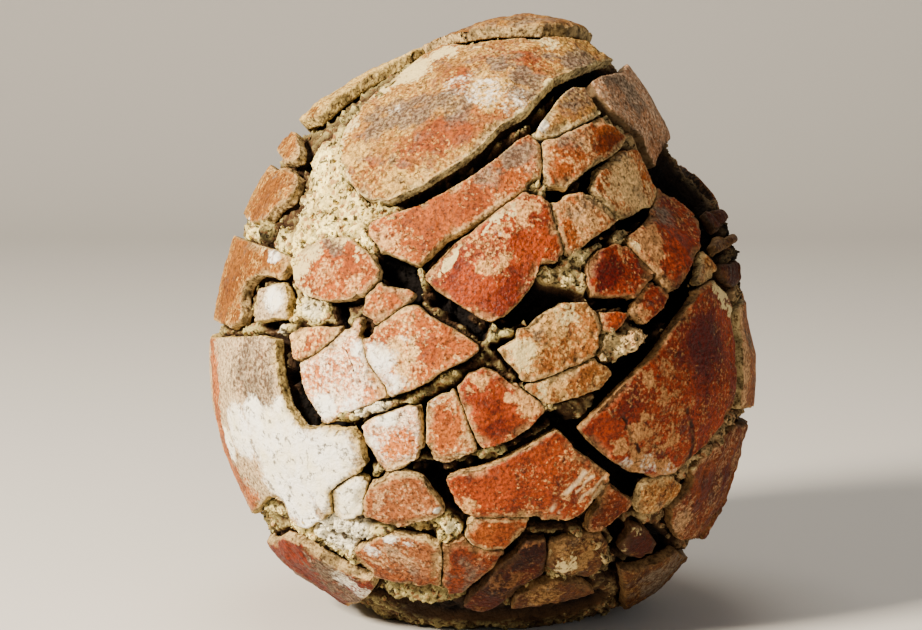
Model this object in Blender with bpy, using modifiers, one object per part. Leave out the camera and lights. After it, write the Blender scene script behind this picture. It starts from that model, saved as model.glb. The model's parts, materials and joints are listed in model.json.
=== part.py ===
"""A fossil dinosaur egg: a lump of hardened sediment still clad in its broken eggshell.

The egg's form is one rounded body. Its outline from the front is a closed curve, and every section
through its depth is half an ellipse. The sediment core is that body less the shell. Each shell
fragment is an outline laid on the body, filled, bent to its curve and given the shell's thickness.

Front outlines are drawn on a board that leans back by VIEW_TILT and passes through the egg's foot.
They are carried to the body along straight lines from EYE, so each is (across, up) in millimetres
as it looks from there. Outlines that pass round the side go on with around() points.
"""
import math
from dataclasses import dataclass

import bmesh
import bpy
from mathutils import Vector
from mathutils.geometry import delaunay_2d_cdt

MM = 0.001

# The egg's body, in millimetres.
CENTRE = Vector((0.0, 0.0, 67.5))
HALF_DEPTH = 71.0
SHELL = 3.5
CORE_CLEARANCE = 0.9
DENT_AT = Vector((0.66, -0.36, 0.66)).normalized()
DENT_DEPTH = 5.0
DENT_RADIUS = 20.0

# The drawing board and the point that front outlines are carried from.
VIEW_TILT = math.radians(8.0)
VIEW_DISTANCE = 800.0
FOOT_ON_BOARD = 5.2
BOARD_MIDDLE = (-5.28, 80.1)

# How plates are meshed.
EDGE_INSET = 0.42
RIM_STEP = 8.0
INNER_STEP = 10.0
CORE_CUTS = 14

ACROSS = Vector((1.0, 0.0, 0.0))
UP = Vector((0.0, math.sin(VIEW_TILT), math.cos(VIEW_TILT)))
OUT = Vector((0.0, -math.cos(VIEW_TILT), math.sin(VIEW_TILT)))
EYE = BOARD_MIDDLE[0] * ACROSS + BOARD_MIDDLE[1] * UP + VIEW_DISTANCE * OUT

# The body's outline from the front, clockwise from the top, as (across, height).
FRONT_OUTLINE = [
    (6, 160.8), (19.7, 160.8), (29.3, 157.0), (38.6, 150.3), (47.2, 139.2), (54.0, 125.0),
    (62, 116.5), (69.5, 104.0), (71.0, 92.0), (72.0, 80.0), (74.2, 71.0), (74.0, 58.2),
    (69.3, 38.6), (60, 18.5), (43.5, 2.0), (22, -7.0), (0, -9.0), (-22, -6.5), (-40.5, 4.5),
    (-55.5, 15.0), (-64.4, 32.5), (-71.2, 51.0), (-73.3, 68.0), (-72.1, 82.8), (-67.3, 100.6),
    (-61.7, 114.4), (-53.5, 126.6), (-44.0, 137.2), (-29.0, 146.4), (-12.0, 155.0),
]


def outline_radii():
    """Return the outline as sorted (clock angle, radius) pairs about the body's centre."""
    pairs = []
    for across, height in FRONT_OUTLINE:
        rise = height - CENTRE.z
        pairs.append((math.atan2(across, rise), math.hypot(across, rise)))
    return sorted(pairs)


RADII = outline_radii()


def front_radius(clock):
    """Return the outline's radius at a clock angle, by a smooth curve through its points."""
    count = len(RADII)
    after = next((i for i, pair in enumerate(RADII) if pair[0] > clock), count)
    picks = []
    for step in (-2, -1, 0, 1):
        turn, index = divmod(after + step, count)
        angle, radius = RADII[index]
        picks.append((angle + turn * math.tau, radius))
    (a0, r0), (a1, r1), (a2, r2), (a3, r3) = picks
    span = a2 - a1
    t = (clock - a1) / span
    slope1 = (r2 - r0) / (a2 - a0) * span
    slope2 = (r3 - r1) / (a3 - a1) * span
    return ((2 * t**3 - 3 * t**2 + 1) * r1 + (t**3 - 2 * t**2 + t) * slope1
            + (3 * t**2 - 2 * t**3) * r2 + (t**3 - t**2) * slope2)


def plain_radius(direction):
    """Return the body's radius along a direction from its centre, without the dent."""
    wide = front_radius(math.atan2(direction.x, direction.z))
    face = math.hypot(direction.x, direction.z)
    return 1.0 / math.hypot(face / wide, direction.y / HALF_DEPTH)


def body_radius(direction):
    """Return the body's radius along a direction, with the dent on the right shoulder."""
    along = direction.normalized()
    gap = math.acos(max(-1.0, min(1.0, along.dot(DENT_AT)))) * HALF_DEPTH / DENT_RADIUS
    return plain_radius(along) - DENT_DEPTH * math.exp(-gap * gap)


def on_body(direction, lift=0.0):
    """Return the point on the body along a direction, raised by lift."""
    along = direction.normalized()
    return CENTRE + along * (body_radius(along) + lift)


def around(azimuth, height):
    """Return the body's direction at a compass angle (0 front, 90 right) and a height."""
    turn = math.radians(azimuth)
    side = Vector((math.sin(turn), -math.cos(turn), 0.0))
    low, high = 0.0, 120.0
    for _ in range(40):
        middle = (low + high) / 2
        spoke = side * middle + Vector((0.0, 0.0, height)) - CENTRE
        if spoke.length < plain_radius(spoke.normalized()):
            low = middle
        else:
            high = middle
    return spoke.normalized()


def from_front(across, up):
    """Return the body's direction where the line from EYE through a board point meets it."""
    target = across * ACROSS + (up - FOOT_ON_BOARD) * UP
    ray = (target - EYE).normalized()
    near = EYE + ray * (CENTRE - EYE).dot(ray)
    step = near - CENTRE
    back = 0.0
    if step.length < body_radius(step):
        low, high = 0.0, 120.0
        for _ in range(40):
            back = (low + high) / 2
            step = near - ray * back - CENTRE
            if step.length < body_radius(step):
                low = back
            else:
                high = back
    return step.normalized()


@dataclass
class Plate:
    """One shell fragment: its outline, its height above the body and its colour."""

    name: str
    outline: list
    lift: float
    colour: str
    beyond: tuple = ()


# Colours.
SEDIMENT = "C0AE88"
ORANGE = "B4582E"
DARK_RED = "7E3018"
PINK = "C08468"
BEIGE = "B59A74"
PALE = "D2BC9A"
WHITE = "DDD6C4"
GREY = "9A8A78"

# Outlines by their (across, up) points on the board, then how far the plate stands proud. "beyond"
# holds the (compass, height) points that close an outline past the side of the egg.
PLATES = [
    # Top and shoulders.
    Plate("shell_cap", [(-6, 162.4), (-1, 163.2), (8, 163.8), (17, 163.9), (24.5, 163.6)], 1.6, PALE,
          ((105, 155.5), (130, 149.5), (158, 147.3), (186, 147.3), (212, 147.5), (231, 149.5))),
    Plate("shell_crown_rim", [(-49.5, 137.6), (-45.5, 139), (-42, 142), (-38, 145.5), (-33, 149.3),
                              (-27, 153), (-20, 157), (-15.5, 159.8)], 1.2, PALE,
          ((-131, 148.5), (-148, 141.5), (-143, 133), (-126, 129), (-108, 130))),
    Plate("shell_crown", [(-16.5, 156), (-11, 159.4), (-3, 159.3), (6, 160.8), (16, 161.2),
                          (25, 161.3), (29.3, 160.6), (34.5, 156.9), (37.6, 154.6), (30, 152.9),
                          (21.5, 150), (16, 144.5), (12.5, 140.5), (6, 137), (0, 131), (-5, 127),
                          (-15, 120.8), (-25, 115.8), (-30, 116.2), (-34, 118.5), (-40, 127),
                          (-39, 132), (-37, 136.5), (-29.5, 145.3), (-20, 153.3)], 1.4, GREY),
    Plate("shell_crown_chip", [(22.5, 146.8), (25.5, 149), (29.3, 148.5), (33.8, 141.2), (28, 138.2),
                               (21, 134.8), (17, 134.3), (15.2, 136.8), (18.5, 141.5)], 0.4, BEIGE),
    Plate("shell_shoulder_right", [(49.5, 128.5), (48.5, 125), (46.5, 129.5), (45.3, 133.5),
                                   (42, 136.5), (36.5, 141.5), (33, 145.5), (30, 150), (34.7, 151.8),
                                   (39.5, 153.0)], 0.6, BEIGE,
          ((116, 146), (122, 136), (112, 124))),
    Plate("shell_brow_right", [(17.5, 133.8), (21, 134.2), (28, 137.4), (34, 140), (38, 137),
                               (41.3, 133.8), (36, 129), (32.5, 127.5), (28.5, 123.5), (24, 120.3),
                               (18.8, 120.3), (18, 127)], 0.7, ORANGE),
    Plate("shell_brow_left", [(-31.5, 107.5), (-31, 111), (-27, 113), (-18, 116), (-10, 120),
                              (-4, 123.5), (3, 128.2), (10, 134), (13.5, 136), (16.5, 132.8),
                              (17, 127), (16.5, 123.8), (9.7, 118.2), (5, 115.4), (-4, 109.5),
                              (-9.5, 106.2), (-14, 101.5), (-17, 98.3), (-21, 100), (-28, 103.2)],
          0.3, ORANGE),
    Plate("shell_collar_left_top", [(-52.2, 135.6), (-50.3, 135.6), (-49.3, 132), (-49.5, 128.5),
                                    (-51, 127), (-54, 127)], 1.4, BEIGE,
          ((-101, 123.5), (-104, 129))),
    Plate("shell_collar_left", [(-56.5, 126.0), (-53, 126), (-50.5, 124.5), (-51, 121), (-53, 117.5),
                                (-57, 114.8), (-60, 111), (-64, 110.5)], 0.3, ORANGE,
          ((-98, 107), (-104, 113), (-101, 121))),
    # Middle.
    Plate("shell_middle", [(-16, 95.5), (-12, 100.3), (-8, 104.5), (-2, 108.5), (4, 112.8),
                           (9, 116.8), (12.5, 118.8), (17.5, 118.3), (19.5, 114), (21, 109),
                           (23, 103), (21.5, 99), (17, 99), (15.5, 94), (11, 88.2), (7, 84.5),
                           (3, 82.6), (0, 83.8), (-6, 87.5), (-13, 92)], 1.2, ORANGE),
    Plate("shell_middle_right", [(20, 116.3), (24, 118.3), (27.5, 119.8), (31, 119), (35, 115.2),
                                 (39, 111), (36, 108.8), (31, 105.7), (28, 102.8), (24.5, 101.8),
                                 (22.3, 107), (20.6, 112)], 0.5, ORANGE),
    Plate("shell_granular", [(33.5, 126), (36, 128), (40, 131), (43, 132), (44.5, 130.5), (46, 127),
                             (47.5, 123), (49, 120.5), (48, 116), (45, 114), (42, 112), (40, 112),
                             (36.5, 115.5), (33, 119), (31, 121.5)], 0.3, PALE),
    Plate("shell_cheek_right", [(49.5, 120.5), (53, 118), (58, 114), (61, 111.5), (61, 105),
                                (59.7, 101), (57.5, 96), (55, 91.8), (51.5, 93.2), (49.3, 96.8),
                                (45.5, 100.5), (42, 104.3), (40.5, 107.5), (43.5, 109.5),
                                (46.5, 112.5), (48.8, 116.5)], 0.8, DARK_RED),
    Plate("shell_dark_red", [(30, 100.5), (33, 103.8), (38, 105.8), (41, 104), (45, 100.5),
                             (48.5, 96.8), (46.5, 94.5), (43.5, 90.3), (36, 89.8), (31.3, 90),
                             (29.7, 93), (29.6, 97)], 0.4, DARK_RED),
    Plate("shell_chip_outer", [(47.5, 94.5), (50, 93.3), (53.2, 90.5), (51.5, 86.8), (46, 82),
                               (43.8, 84.3), (42.9, 87.2), (44.3, 90.5)], 0.0, ORANGE),
    Plate("shell_chip_inner", [(33.8, 86.2), (38, 87), (42.2, 85.8), (39.8, 82), (36.7, 79.2),
                               (34.5, 81.5)], 0.1, ORANGE),
    Plate("shell_tan", [(4.3, 75.8), (9.6, 78.8), (10.5, 82), (13.2, 82.2), (16, 85), (19, 87),
                        (23, 89.3), (29.5, 89.3), (32.2, 86.2), (33.3, 81), (33.6, 76), (29, 72.3),
                        (22, 69.3), (15, 66.8), (11.5, 67.5), (7.3, 71.8)], 0.5, PALE),
    Plate("shell_pinkish", [(14, 66), (21, 68.3), (27, 70.8), (32, 73), (35.5, 71.5), (37.5, 69),
                            (34, 64.5), (29, 62.5), (24, 61), (20, 60), (15, 63), (11.5, 65.5)],
          0.2, PINK),
    Plate("shell_orange_middle", [(-6, 66), (-3.5, 69.3), (1, 71), (5, 69.7), (8.3, 66.8), (11, 65),
                                  (15, 62), (18.5, 58.5), (14, 53.8), (9, 50.4), (4, 48.5),
                                  (0.8, 48), (-1, 52), (-3.3, 57.5), (-5.5, 62.5)], 0.9, ORANGE),
    Plate("shell_orange_pink", [(-15, 61.5), (-11, 63.5), (-7.3, 64.2), (-5, 59.5), (-3.8, 55),
                                (-2, 50.5), (-0.8, 47), (-4.5, 45.5), (-9, 43.7), (-13.5, 44.7),
                                (-14.8, 50), (-14.9, 57)], 0.5, PINK),
    Plate("shell_pale_pink", [(-33.5, 55), (-30, 57), (-25, 58.8), (-20.5, 60.5), (-17, 60.3),
                              (-16.6, 54), (-16.5, 48), (-17.5, 44.5), (-22, 42.8), (-27, 41.8),
                              (-29, 44.5), (-31.8, 50)], 0.3, PALE),
    # Left flank.
    Plate("shell_white_tipped", [(-30, 80.5), (-26, 83.5), (-21, 87.2), (-17, 88.3), (-14, 85.5),
                                 (-10, 83.3), (-5, 80.7), (0, 77.2), (0.3, 75.2), (-4, 72),
                                 (-9, 69.8), (-15, 65.8), (-20, 63.5), (-24.5, 62.3), (-26, 65.5),
                                 (-29.5, 70.2), (-31.2, 73.5), (-32.3, 78)], 0.7, PINK),
    Plate("shell_flank_pale", [(-50.5, 71.3), (-45, 74.3), (-40, 78.6), (-36.5, 82), (-35, 85),
                               (-33.5, 84.5), (-32.4, 82), (-33.8, 79.3), (-33, 77), (-32, 73),
                               (-30, 69.8), (-27, 65.3), (-26.2, 62), (-31, 59.8), (-38, 57),
                               (-43.5, 55), (-46, 58.3), (-49, 63.5), (-50.2, 68)], 0.2, PALE),
    Plate("shell_flank_strip", [(-53.3, 80), (-50.5, 82.2), (-44, 82.6), (-38.5, 82.2),
                                (-41, 78.8), (-45, 75.7), (-50, 73), (-52.2, 72.5)], 0.4, PINK),
    Plate("shell_flank_upper", [(-51.5, 101), (-48, 105), (-42, 107), (-36, 107), (-32.5, 104.3),
                                (-29.5, 101.5), (-27, 97.5), (-29, 94.8), (-32, 91.5),
                                (-35.5, 89.3), (-41, 88.5), (-47, 89.5), (-51, 92.5), (-52, 97)],
          0.9, ORANGE),
    Plate("shell_flank_chip", [(-32.8, 88), (-31, 91.3), (-28.3, 94), (-24, 93.7), (-19.5, 92.8),
                               (-17, 91), (-20.5, 88.9), (-25, 85.7), (-29, 82.8), (-31, 84.2),
                               (-33, 86.3)], 0.3, ORANGE),
    Plate("shell_limb_left", [(-62, 105.3), (-57, 104), (-52.8, 101.5), (-53.7, 97.5),
                              (-55.5, 95.5), (-62, 96), (-65, 93.5), (-66, 90), (-65.5, 86),
                              (-66.5, 82.5), (-70, 81.5)], 0.4, ORANGE,
          ((-100, 77.5), (-105, 90), (-100, 101))),
    Plate("shell_cream_chip", [(-62.5, 89.5), (-61.5, 93), (-57, 94), (-54, 94), (-53, 90),
                               (-53.3, 86), (-53, 83.5), (-57, 83.8), (-62.5, 82.6), (-63.3, 86)],
          0.5, WHITE),
    Plate("shell_encrusted", [(-68, 79.6), (-60, 80), (-55.8, 79), (-56, 74), (-55, 67), (-53, 60),
                              (-49, 54.5), (-42, 54.0), (-35.5, 54.2), (-33.8, 51), (-32, 46),
                              (-31, 43.5), (-34, 41.8), (-38, 39.5), (-41.8, 36.5), (-41.3, 31),
                              (-43, 28.5), (-47.5, 25.8), (-52, 27.5), (-54.5, 33), (-58, 35),
                              (-60, 32.5)], 1.0, WHITE,
          ((-99, 24), (-104, 40), (-103, 58), (-101, 74.5))),
    Plate("shell_white_crumb", [(-41, 36), (-38.5, 38.3), (-35, 40.3), (-32, 40.3), (-31.8, 37),
                                (-33, 33.8), (-32.5, 31), (-34.5, 28.3), (-39, 27.8), (-40.8, 31)],
          0.2, WHITE),
    # Lower middle.
    Plate("shell_pinkish_tan", [(-31, 36.8), (-29, 39.2), (-24, 40.8), (-18.5, 41), (-15.3, 40),
                                (-13.5, 36.5), (-10.3, 33), (-9.5, 30.3), (-12, 28.5), (-18, 26.9),
                                (-22.5, 26), (-28, 27.8), (-32, 29.8), (-32.2, 33.5)], 0.6, PINK),
    Plate("shell_long_orange", [(-10, 40.3), (-6, 41.8), (0, 43), (6, 45.2), (12, 48.5), (18, 52),
                                (21.3, 54.2), (24, 51.8), (27, 48), (31, 45.3), (36.3, 41.5),
                                (34.5, 38.3), (32, 34.5), (29, 30.7), (25, 28.2), (17, 28.2),
                                (15, 29.8), (6, 29.9), (-1, 29.6), (-4.5, 30), (-7, 33),
                                (-9, 37.5)], 0.9, ORANGE),
    # Right flank.
    Plate("shell_flank_right", [(27, 53.5), (32, 58.3), (37.5, 64.2), (43, 69.5), (48.5, 74.7),
                                (53.5, 82), (57, 86.8), (61, 92.3), (65, 94.5), (68, 91.5),
                                (69.5, 88), (70.5, 80), (71, 72), (71, 65), (70, 60), (67, 54.5),
                                (63, 49.5), (58, 45), (54, 41.7), (48, 40.6), (41, 41.5),
                                (36, 44.7), (31, 49)], 0.7, DARK_RED),
    Plate("shell_grain_middle", [(61.8, 103.5), (65.5, 100), (66.3, 97.2), (63, 95), (60.3, 93.8),
                                 (61, 98)], 0.2, BEIGE),
    Plate("shell_grain_top", [(67.6, 109.6), (65.6, 108.6), (63.9, 111), (62, 114.8), (64.2, 115)],
          0.4, BEIGE, ((95, 109.5), (96.5, 106.5))),
    Plate("shell_grain_upper", [(66.2, 102.1), (64.1, 104.9), (65.5, 107.0), (69.2, 107.6)],
          0.3, DARK_RED, ((99, 102), (99, 98.5))),
    Plate("shell_grain_lower", [(71.2, 92.5), (69.9, 93), (67.2, 96), (66.9, 99.9), (70.5, 100.2)],
          0.2, BEIGE, ((98.5, 95), (98, 89))),
    # Foot.
    Plate("shell_brown_chip", [(35.5, 38.5), (39, 37), (42.3, 34.3), (42, 31), (39, 29), (36, 26.5),
                               (32, 24.8), (29.5, 25.5), (30, 28.5), (33, 32.5)], 0.2, DARK_RED),
    Plate("shell_foot_beige", [(45, 38), (49, 39.8), (54, 40.3), (57, 38), (55, 35), (52, 31.5),
                               (48, 29.5), (44, 29.5), (43.5, 33), (44.5, 35.5)], 0.3, BEIGE),
    Plate("shell_limb_right", [(59.5, 22.5), (55, 22.5), (53, 26), (53, 31), (57, 36), (58.7, 38.5),
                                (57.8, 42.5),
                               (62, 47), (66.5, 51.8), (71, 55.4)], 0.5, BEIGE,
          ((93, 52), (104, 50), (105, 34), (103, 19.5))),
    Plate("shell_dark_chip", [(42, 28), (47, 26), (50, 21.6), (48, 18.5), (44, 17), (40, 18),
                              (38, 20), (41, 24)], 0.1, DARK_RED),
    Plate("shell_foot_orange", [(-4.2, 27.5), (0, 28.6), (7, 28.9), (13.8, 28.6), (13, 25.5),
                                (9.5, 22), (7.5, 20.5), (2, 20.3), (-1.8, 21.5), (-3.8, 24)],
          0.5, ORANGE),
    Plate("shell_foot_pink", [(-10, 21), (-7, 22.5), (-4.5, 23), (-2, 20.5), (2, 19.3), (7, 19.3),
                              (3.5, 15), (-0.5, 11.3), (-4.5, 8), (-9, 7.5), (-10.3, 11),
                              (-9.7, 16)], 0.3, PINK),
    Plate("shell_foot_left", [(-37.5, 19.5), (-33, 21), (-29.5, 23.3), (-25, 24.6), (-20, 24),
                              (-15, 23), (-11.5, 20.5), (-11, 15), (-11.5, 10), (-17, 9.8),
                              (-23, 10.8), (-28.5, 12), (-32, 15), (-35, 17.5)], 0.4, PALE),
    Plate("shell_limb_foot_left", [(-55, 24.3), (-50, 22.5), (-45, 19), (-40, 16), (-35, 13.5),
                                   (-30, 12.3), (-28.5, 10), (-31, 6.8)], 0.6, DARK_RED,
          ((-62, 4), (-80, 5), (-102, 7), (-102, 20))),
    Plate("shell_foot_dark", [(-5, 4), (-3, 7), (2, 11.5), (6, 15.5), (10, 19.5), (13, 23),
                              (18, 22.5), (19, 19), (17.5, 15), (18, 13), (14, 11), (10, 8), (5, 4),
                              (0, 2.4)], 0.3, DARK_RED),
    Plate("shell_foot_grey", [(19, 21.5), (24, 23), (29, 24), (34, 24.3), (36, 22), (36, 18),
                              (33, 13), (30, 11.7), (25, 12.5), (20, 13.8), (18.7, 16)], 0.3, GREY),
    Plate("shell_foot_brown", [(10, 6.4), (16, 9.8), (21, 11.5), (26, 10.8), (30, 10.0), (33, 8),
                               (28, 6.5), (22, 5), (16, 3.6), (8, 2.8)], 0.0, DARK_RED),
    Plate("shell_foot_right", [(38.5, 15), (44, 15), (50, 17), (55, 20)], 0.2, DARK_RED,
          ((102, 15), (103, 5), (80, 3.5), (60, 3.2))),
    # Back, by compass angle and height only.
    Plate("shell_back_foot_right", [], 0.3, BEIGE,
          ((105, 4), (107, 20), (107.5, 36), (109, 50), (127, 52), (146, 47), (150, 30), (147, 14),
           (151, 3.5), (128, 3))),
    Plate("shell_back_foot_middle", [], 0.5, ORANGE,
          ((153, 3.5), (149.5, 14), (152.5, 30), (148.5, 46), (168, 51), (188, 46), (206, 50),
           (209, 33), (203, 17), (208, 3.2), (180, 3))),
    Plate("shell_back_foot_left", [], 0.2, PALE,
          ((211, 3.2), (206, 17), (212, 33), (209, 50), (228, 45), (243, 49), (254, 47), (254, 30),
           (256, 18), (256, 6), (232, 3))),
    Plate("shell_back_right", [(71.2, 87.5), (72, 80), (72.4, 72), (72.4, 65), (71.5, 58.5)],
          0.7, DARK_RED,
          ((92, 55), (108, 53.5), (127, 55), (141, 51.5), (144, 68), (139, 84),
           (143, 97), (124, 104), (101.5, 101), (101, 87), (92, 85.5))),
    Plate("shell_back_middle_right", [], 0.4, ORANGE,
          ((144, 50.5), (168, 54), (184, 50), (181, 66), (187, 82), (182, 100), (164, 104),
           (146, 97), (142, 84), (147, 68))),
    Plate("shell_back_middle_left", [], 0.8, BEIGE,
          ((187, 49.5), (206, 53), (224, 49.5), (221, 64), (227, 80), (222, 96), (203, 101),
           (185, 99), (190, 82), (184, 66))),
    Plate("shell_back_left", [], 0.5, PALE,
          ((227, 49.5), (243, 52), (253.5, 50), (254.5, 62), (256, 74), (256.5, 78), (252, 91),
           (256, 103), (240, 107), (225, 98), (230, 80), (224, 64))),
    Plate("shell_back_shoulder_right", [], 0.3, ORANGE,
          ((95.5, 112.5), (103, 105.5), (124, 107.5), (142, 101), (163, 107.5), (167, 123),
           (160, 141), (139, 144), (126, 136), (114, 121), (98, 121), (92, 118))),
    Plate("shell_back_shoulder_middle", [], 0.6, BEIGE,
          ((167, 107.5), (183, 103.5), (203, 104.5), (209, 117), (203, 132), (207, 143),
           (186, 145), (165, 144.5), (171, 123))),
    Plate("shell_back_shoulder_left", [], 0.2, ORANGE,
          ((207, 104.5), (223, 100.5), (240, 110.5), (255, 108), (252, 122), (246, 127),
           (228, 127), (213, 131), (206, 133.5), (213, 117))),
]


def directions(plate):
    """Return a plate's outline as directions from the body's centre."""
    front = [from_front(across, up) for across, up in plate.outline]
    return front + [around(azimuth, height) for azimuth, height in plate.beyond]


class Chart:
    """A flat map of the body about one direction, in millimetres along the surface."""

    def __init__(self, middle):
        self.pole = middle.normalized()
        self.scale = body_radius(self.pole)
        reference = Vector((0.0, 0.0, 1.0)) if abs(self.pole.z) < 0.9 else Vector((0.0, 1.0, 0.0))
        self.east = reference.cross(self.pole).normalized()
        self.north = self.pole.cross(self.east)

    def flat(self, direction):
        """Return a direction's place on the map."""
        side = direction - self.pole * direction.dot(self.pole)
        if side.length < 1e-9:
            return Vector((0.0, 0.0))
        reach = math.atan2(side.length, direction.dot(self.pole)) * self.scale
        side.normalize()
        return Vector((side.dot(self.east), side.dot(self.north))) * reach

    def raised(self, place):
        """Return the direction at a place on the map."""
        if place.length < 1e-9:
            return self.pole.copy()
        turn = place.length / self.scale
        side = (self.east * place.x + self.north * place.y) / place.length
        return self.pole * math.cos(turn) + side * math.sin(turn)


def signed_area(places):
    """Return a closed outline's area, above zero if it runs anticlockwise."""
    pairs = zip(places, places[1:] + places[:1])
    return sum(a.x * b.y - b.x * a.y for a, b in pairs) / 2


def inset(places, amount):
    """Return an anticlockwise outline moved inward by an amount, with sharp corners held back."""
    moved = []
    for before, here, after in zip(places[-1:] + places[:-1], places, places[1:] + places[:1]):
        incoming = (here - before).normalized()
        outgoing = (after - here).normalized()
        inward = Vector((-incoming.y - outgoing.y, incoming.x + outgoing.x)) / 2
        stretch = max(inward.length_squared, 0.25)
        moved.append(here + inward * (amount / stretch))
    return moved


def with_steps(places, step):
    """Return a closed outline with its long edges divided."""
    result = []
    for here, after in zip(places, places[1:] + places[:1]):
        parts = max(1, math.ceil((after - here).length / step))
        result.extend(here.lerp(after, i / parts) for i in range(parts))
    return result


def inside(place, places, margin):
    """Tell whether a place lies within an outline and further than a margin from its edges."""
    crossings = 0
    for a, b in zip(places, places[1:] + places[:1]):
        edge = b - a
        along = max(0.0, min(1.0, (place - a).dot(edge) / edge.length_squared))
        if (a + edge * along - place).length < margin:
            return False
        if (a.y > place.y) != (b.y > place.y):
            crossings += (b.x - a.x) * (place.y - a.y) / (b.y - a.y) + a.x > place.x
    return crossings % 2 == 1


def inner_points(places, step):
    """Return a staggered grid of points inside an outline."""
    low_x, high_x = min(p.x for p in places), max(p.x for p in places)
    low_y, high_y = min(p.y for p in places), max(p.y for p in places)
    rows = math.ceil((high_y - low_y) / (step * 0.87))
    columns = math.ceil((high_x - low_x) / step)
    grid = []
    for row in range(rows + 1):
        for column in range(-1, columns + 1):
            shift = 0.5 * (row % 2) + 0.25
            place = Vector((low_x + (column + shift) * step, low_y + (row + 0.3) * step * 0.87))
            if inside(place, places, step * 0.45):
                grid.append(place)
    return grid


def plate_mesh(plate):
    """Return the plate's outer face as a mesh that follows the body."""
    outline = directions(plate)
    chart = Chart(sum(outline, Vector()))
    places = [chart.flat(direction) for direction in outline]
    if signed_area(places) < 0:
        places.reverse()
    rim = with_steps(inset(places, EDGE_INSET), RIM_STEP)
    grid = inner_points(rim, INNER_STEP)
    edges = [(i, (i + 1) % len(rim)) for i in range(len(rim))]
    flat, _, faces, *_ = delaunay_2d_cdt(rim + grid, edges, [], 1, 1e-6)
    mesh = bpy.data.meshes.new(plate.name)
    surface = [on_body(chart.raised(place), plate.lift) * MM for place in flat]
    mesh.from_pydata(surface, [], faces)
    return mesh


def principled(name, colour, roughness):
    """Return a plain Principled material of one colour."""
    channels = [int(colour[i:i + 2], 16) / 255 for i in (0, 2, 4)]
    linear = [c / 12.92 if c <= 0.04045 else ((c + 0.055) / 1.055) ** 2.4 for c in channels]
    material = bpy.data.materials.new(name)
    material.use_nodes = True
    shader = material.node_tree.nodes["Principled BSDF"]
    shader.inputs["Base Color"].default_value = (*linear, 1.0)
    shader.inputs["Roughness"].default_value = roughness
    shader.inputs["Metallic"].default_value = 0.0
    return material


def add_plate(plate, collection):
    """Add one shell fragment: its outer face, thickened inward."""
    mesh = plate_mesh(plate)
    mesh.materials.append(principled(plate.name, plate.colour, 0.85))
    piece = bpy.data.objects.new(plate.name, mesh)
    collection.objects.link(piece)
    wall = piece.modifiers.new("shell", "SOLIDIFY")
    wall.thickness = SHELL * MM
    wall.offset = -1.0


def add_core(collection):
    """Add the sediment lump: a cube rounded out to the body less the shell, cut flat at the base."""
    mesh = bpy.data.meshes.new("sediment_core")
    ball = bmesh.new()
    bmesh.ops.create_cube(ball, size=2.0)
    bmesh.ops.subdivide_edges(ball, edges=ball.edges[:], cuts=CORE_CUTS, use_grid_fill=True)
    for vertex in ball.verts:
        spread = Vector([math.tan(c * math.pi / 4) for c in vertex.co])
        vertex.co = on_body(spread, -SHELL - CORE_CLEARANCE) * MM
    everything = ball.verts[:] + ball.edges[:] + ball.faces[:]
    cut = bmesh.ops.bisect_plane(ball, geom=everything, dist=1e-7, plane_co=(0, 0, 0),
                                 plane_no=(0, 0, -1), clear_outer=True)
    rim = [item for item in cut["geom_cut"] if isinstance(item, bmesh.types.BMEdge)]
    for vertex in {end for edge in rim for end in edge.verts}:
        vertex.co.z = 0.0
    bmesh.ops.contextual_create(ball, geom=rim)
    bmesh.ops.recalc_face_normals(ball, faces=ball.faces[:])
    ball.to_mesh(mesh)
    ball.free()
    mesh.materials.append(principled("sediment_core", SEDIMENT, 0.95))
    collection.objects.link(bpy.data.objects.new("sediment_core", mesh))


def main():
    """Clear the scene and build the egg."""
    for item in list(bpy.data.objects):
        bpy.data.objects.remove(item, do_unlink=True)
    collection = bpy.data.collections.new("fossil_dinosaur_egg")
    bpy.context.scene.collection.children.link(collection)
    add_core(collection)
    for plate in PLATES:
        add_plate(plate, collection)


main()
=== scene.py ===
"""Looks of a fossil dinosaur egg: cracked eggshell plates on a lump of hardened sediment.

Every CAD shell plate is redrawn as a broken piece of fossil shell, finely meshed, with chipped and
worn edges, and the CAD core as granular siltstone that fills some of the gaps and lies deep in the
others. Crumbs of silt lie in the gaps. Sizes are in millimetres until a mesh is written.

Marks and strokes are laid out on the drawing board of the CAD model: a board that leans back by 8
degrees through the egg's foot, with points given as (across, up) in millimetres. Each is carried to
the egg's surface once, so it stays on its plate from every side.
"""

import json
import logging
import math
from collections.abc import Iterable
from dataclasses import dataclass, field
from enum import Enum

import bmesh
import bpy
import numpy as np
from mathutils import Matrix, Vector, noise
from mathutils.bvhtree import BVHTree
from mathutils.kdtree import KDTree

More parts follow.
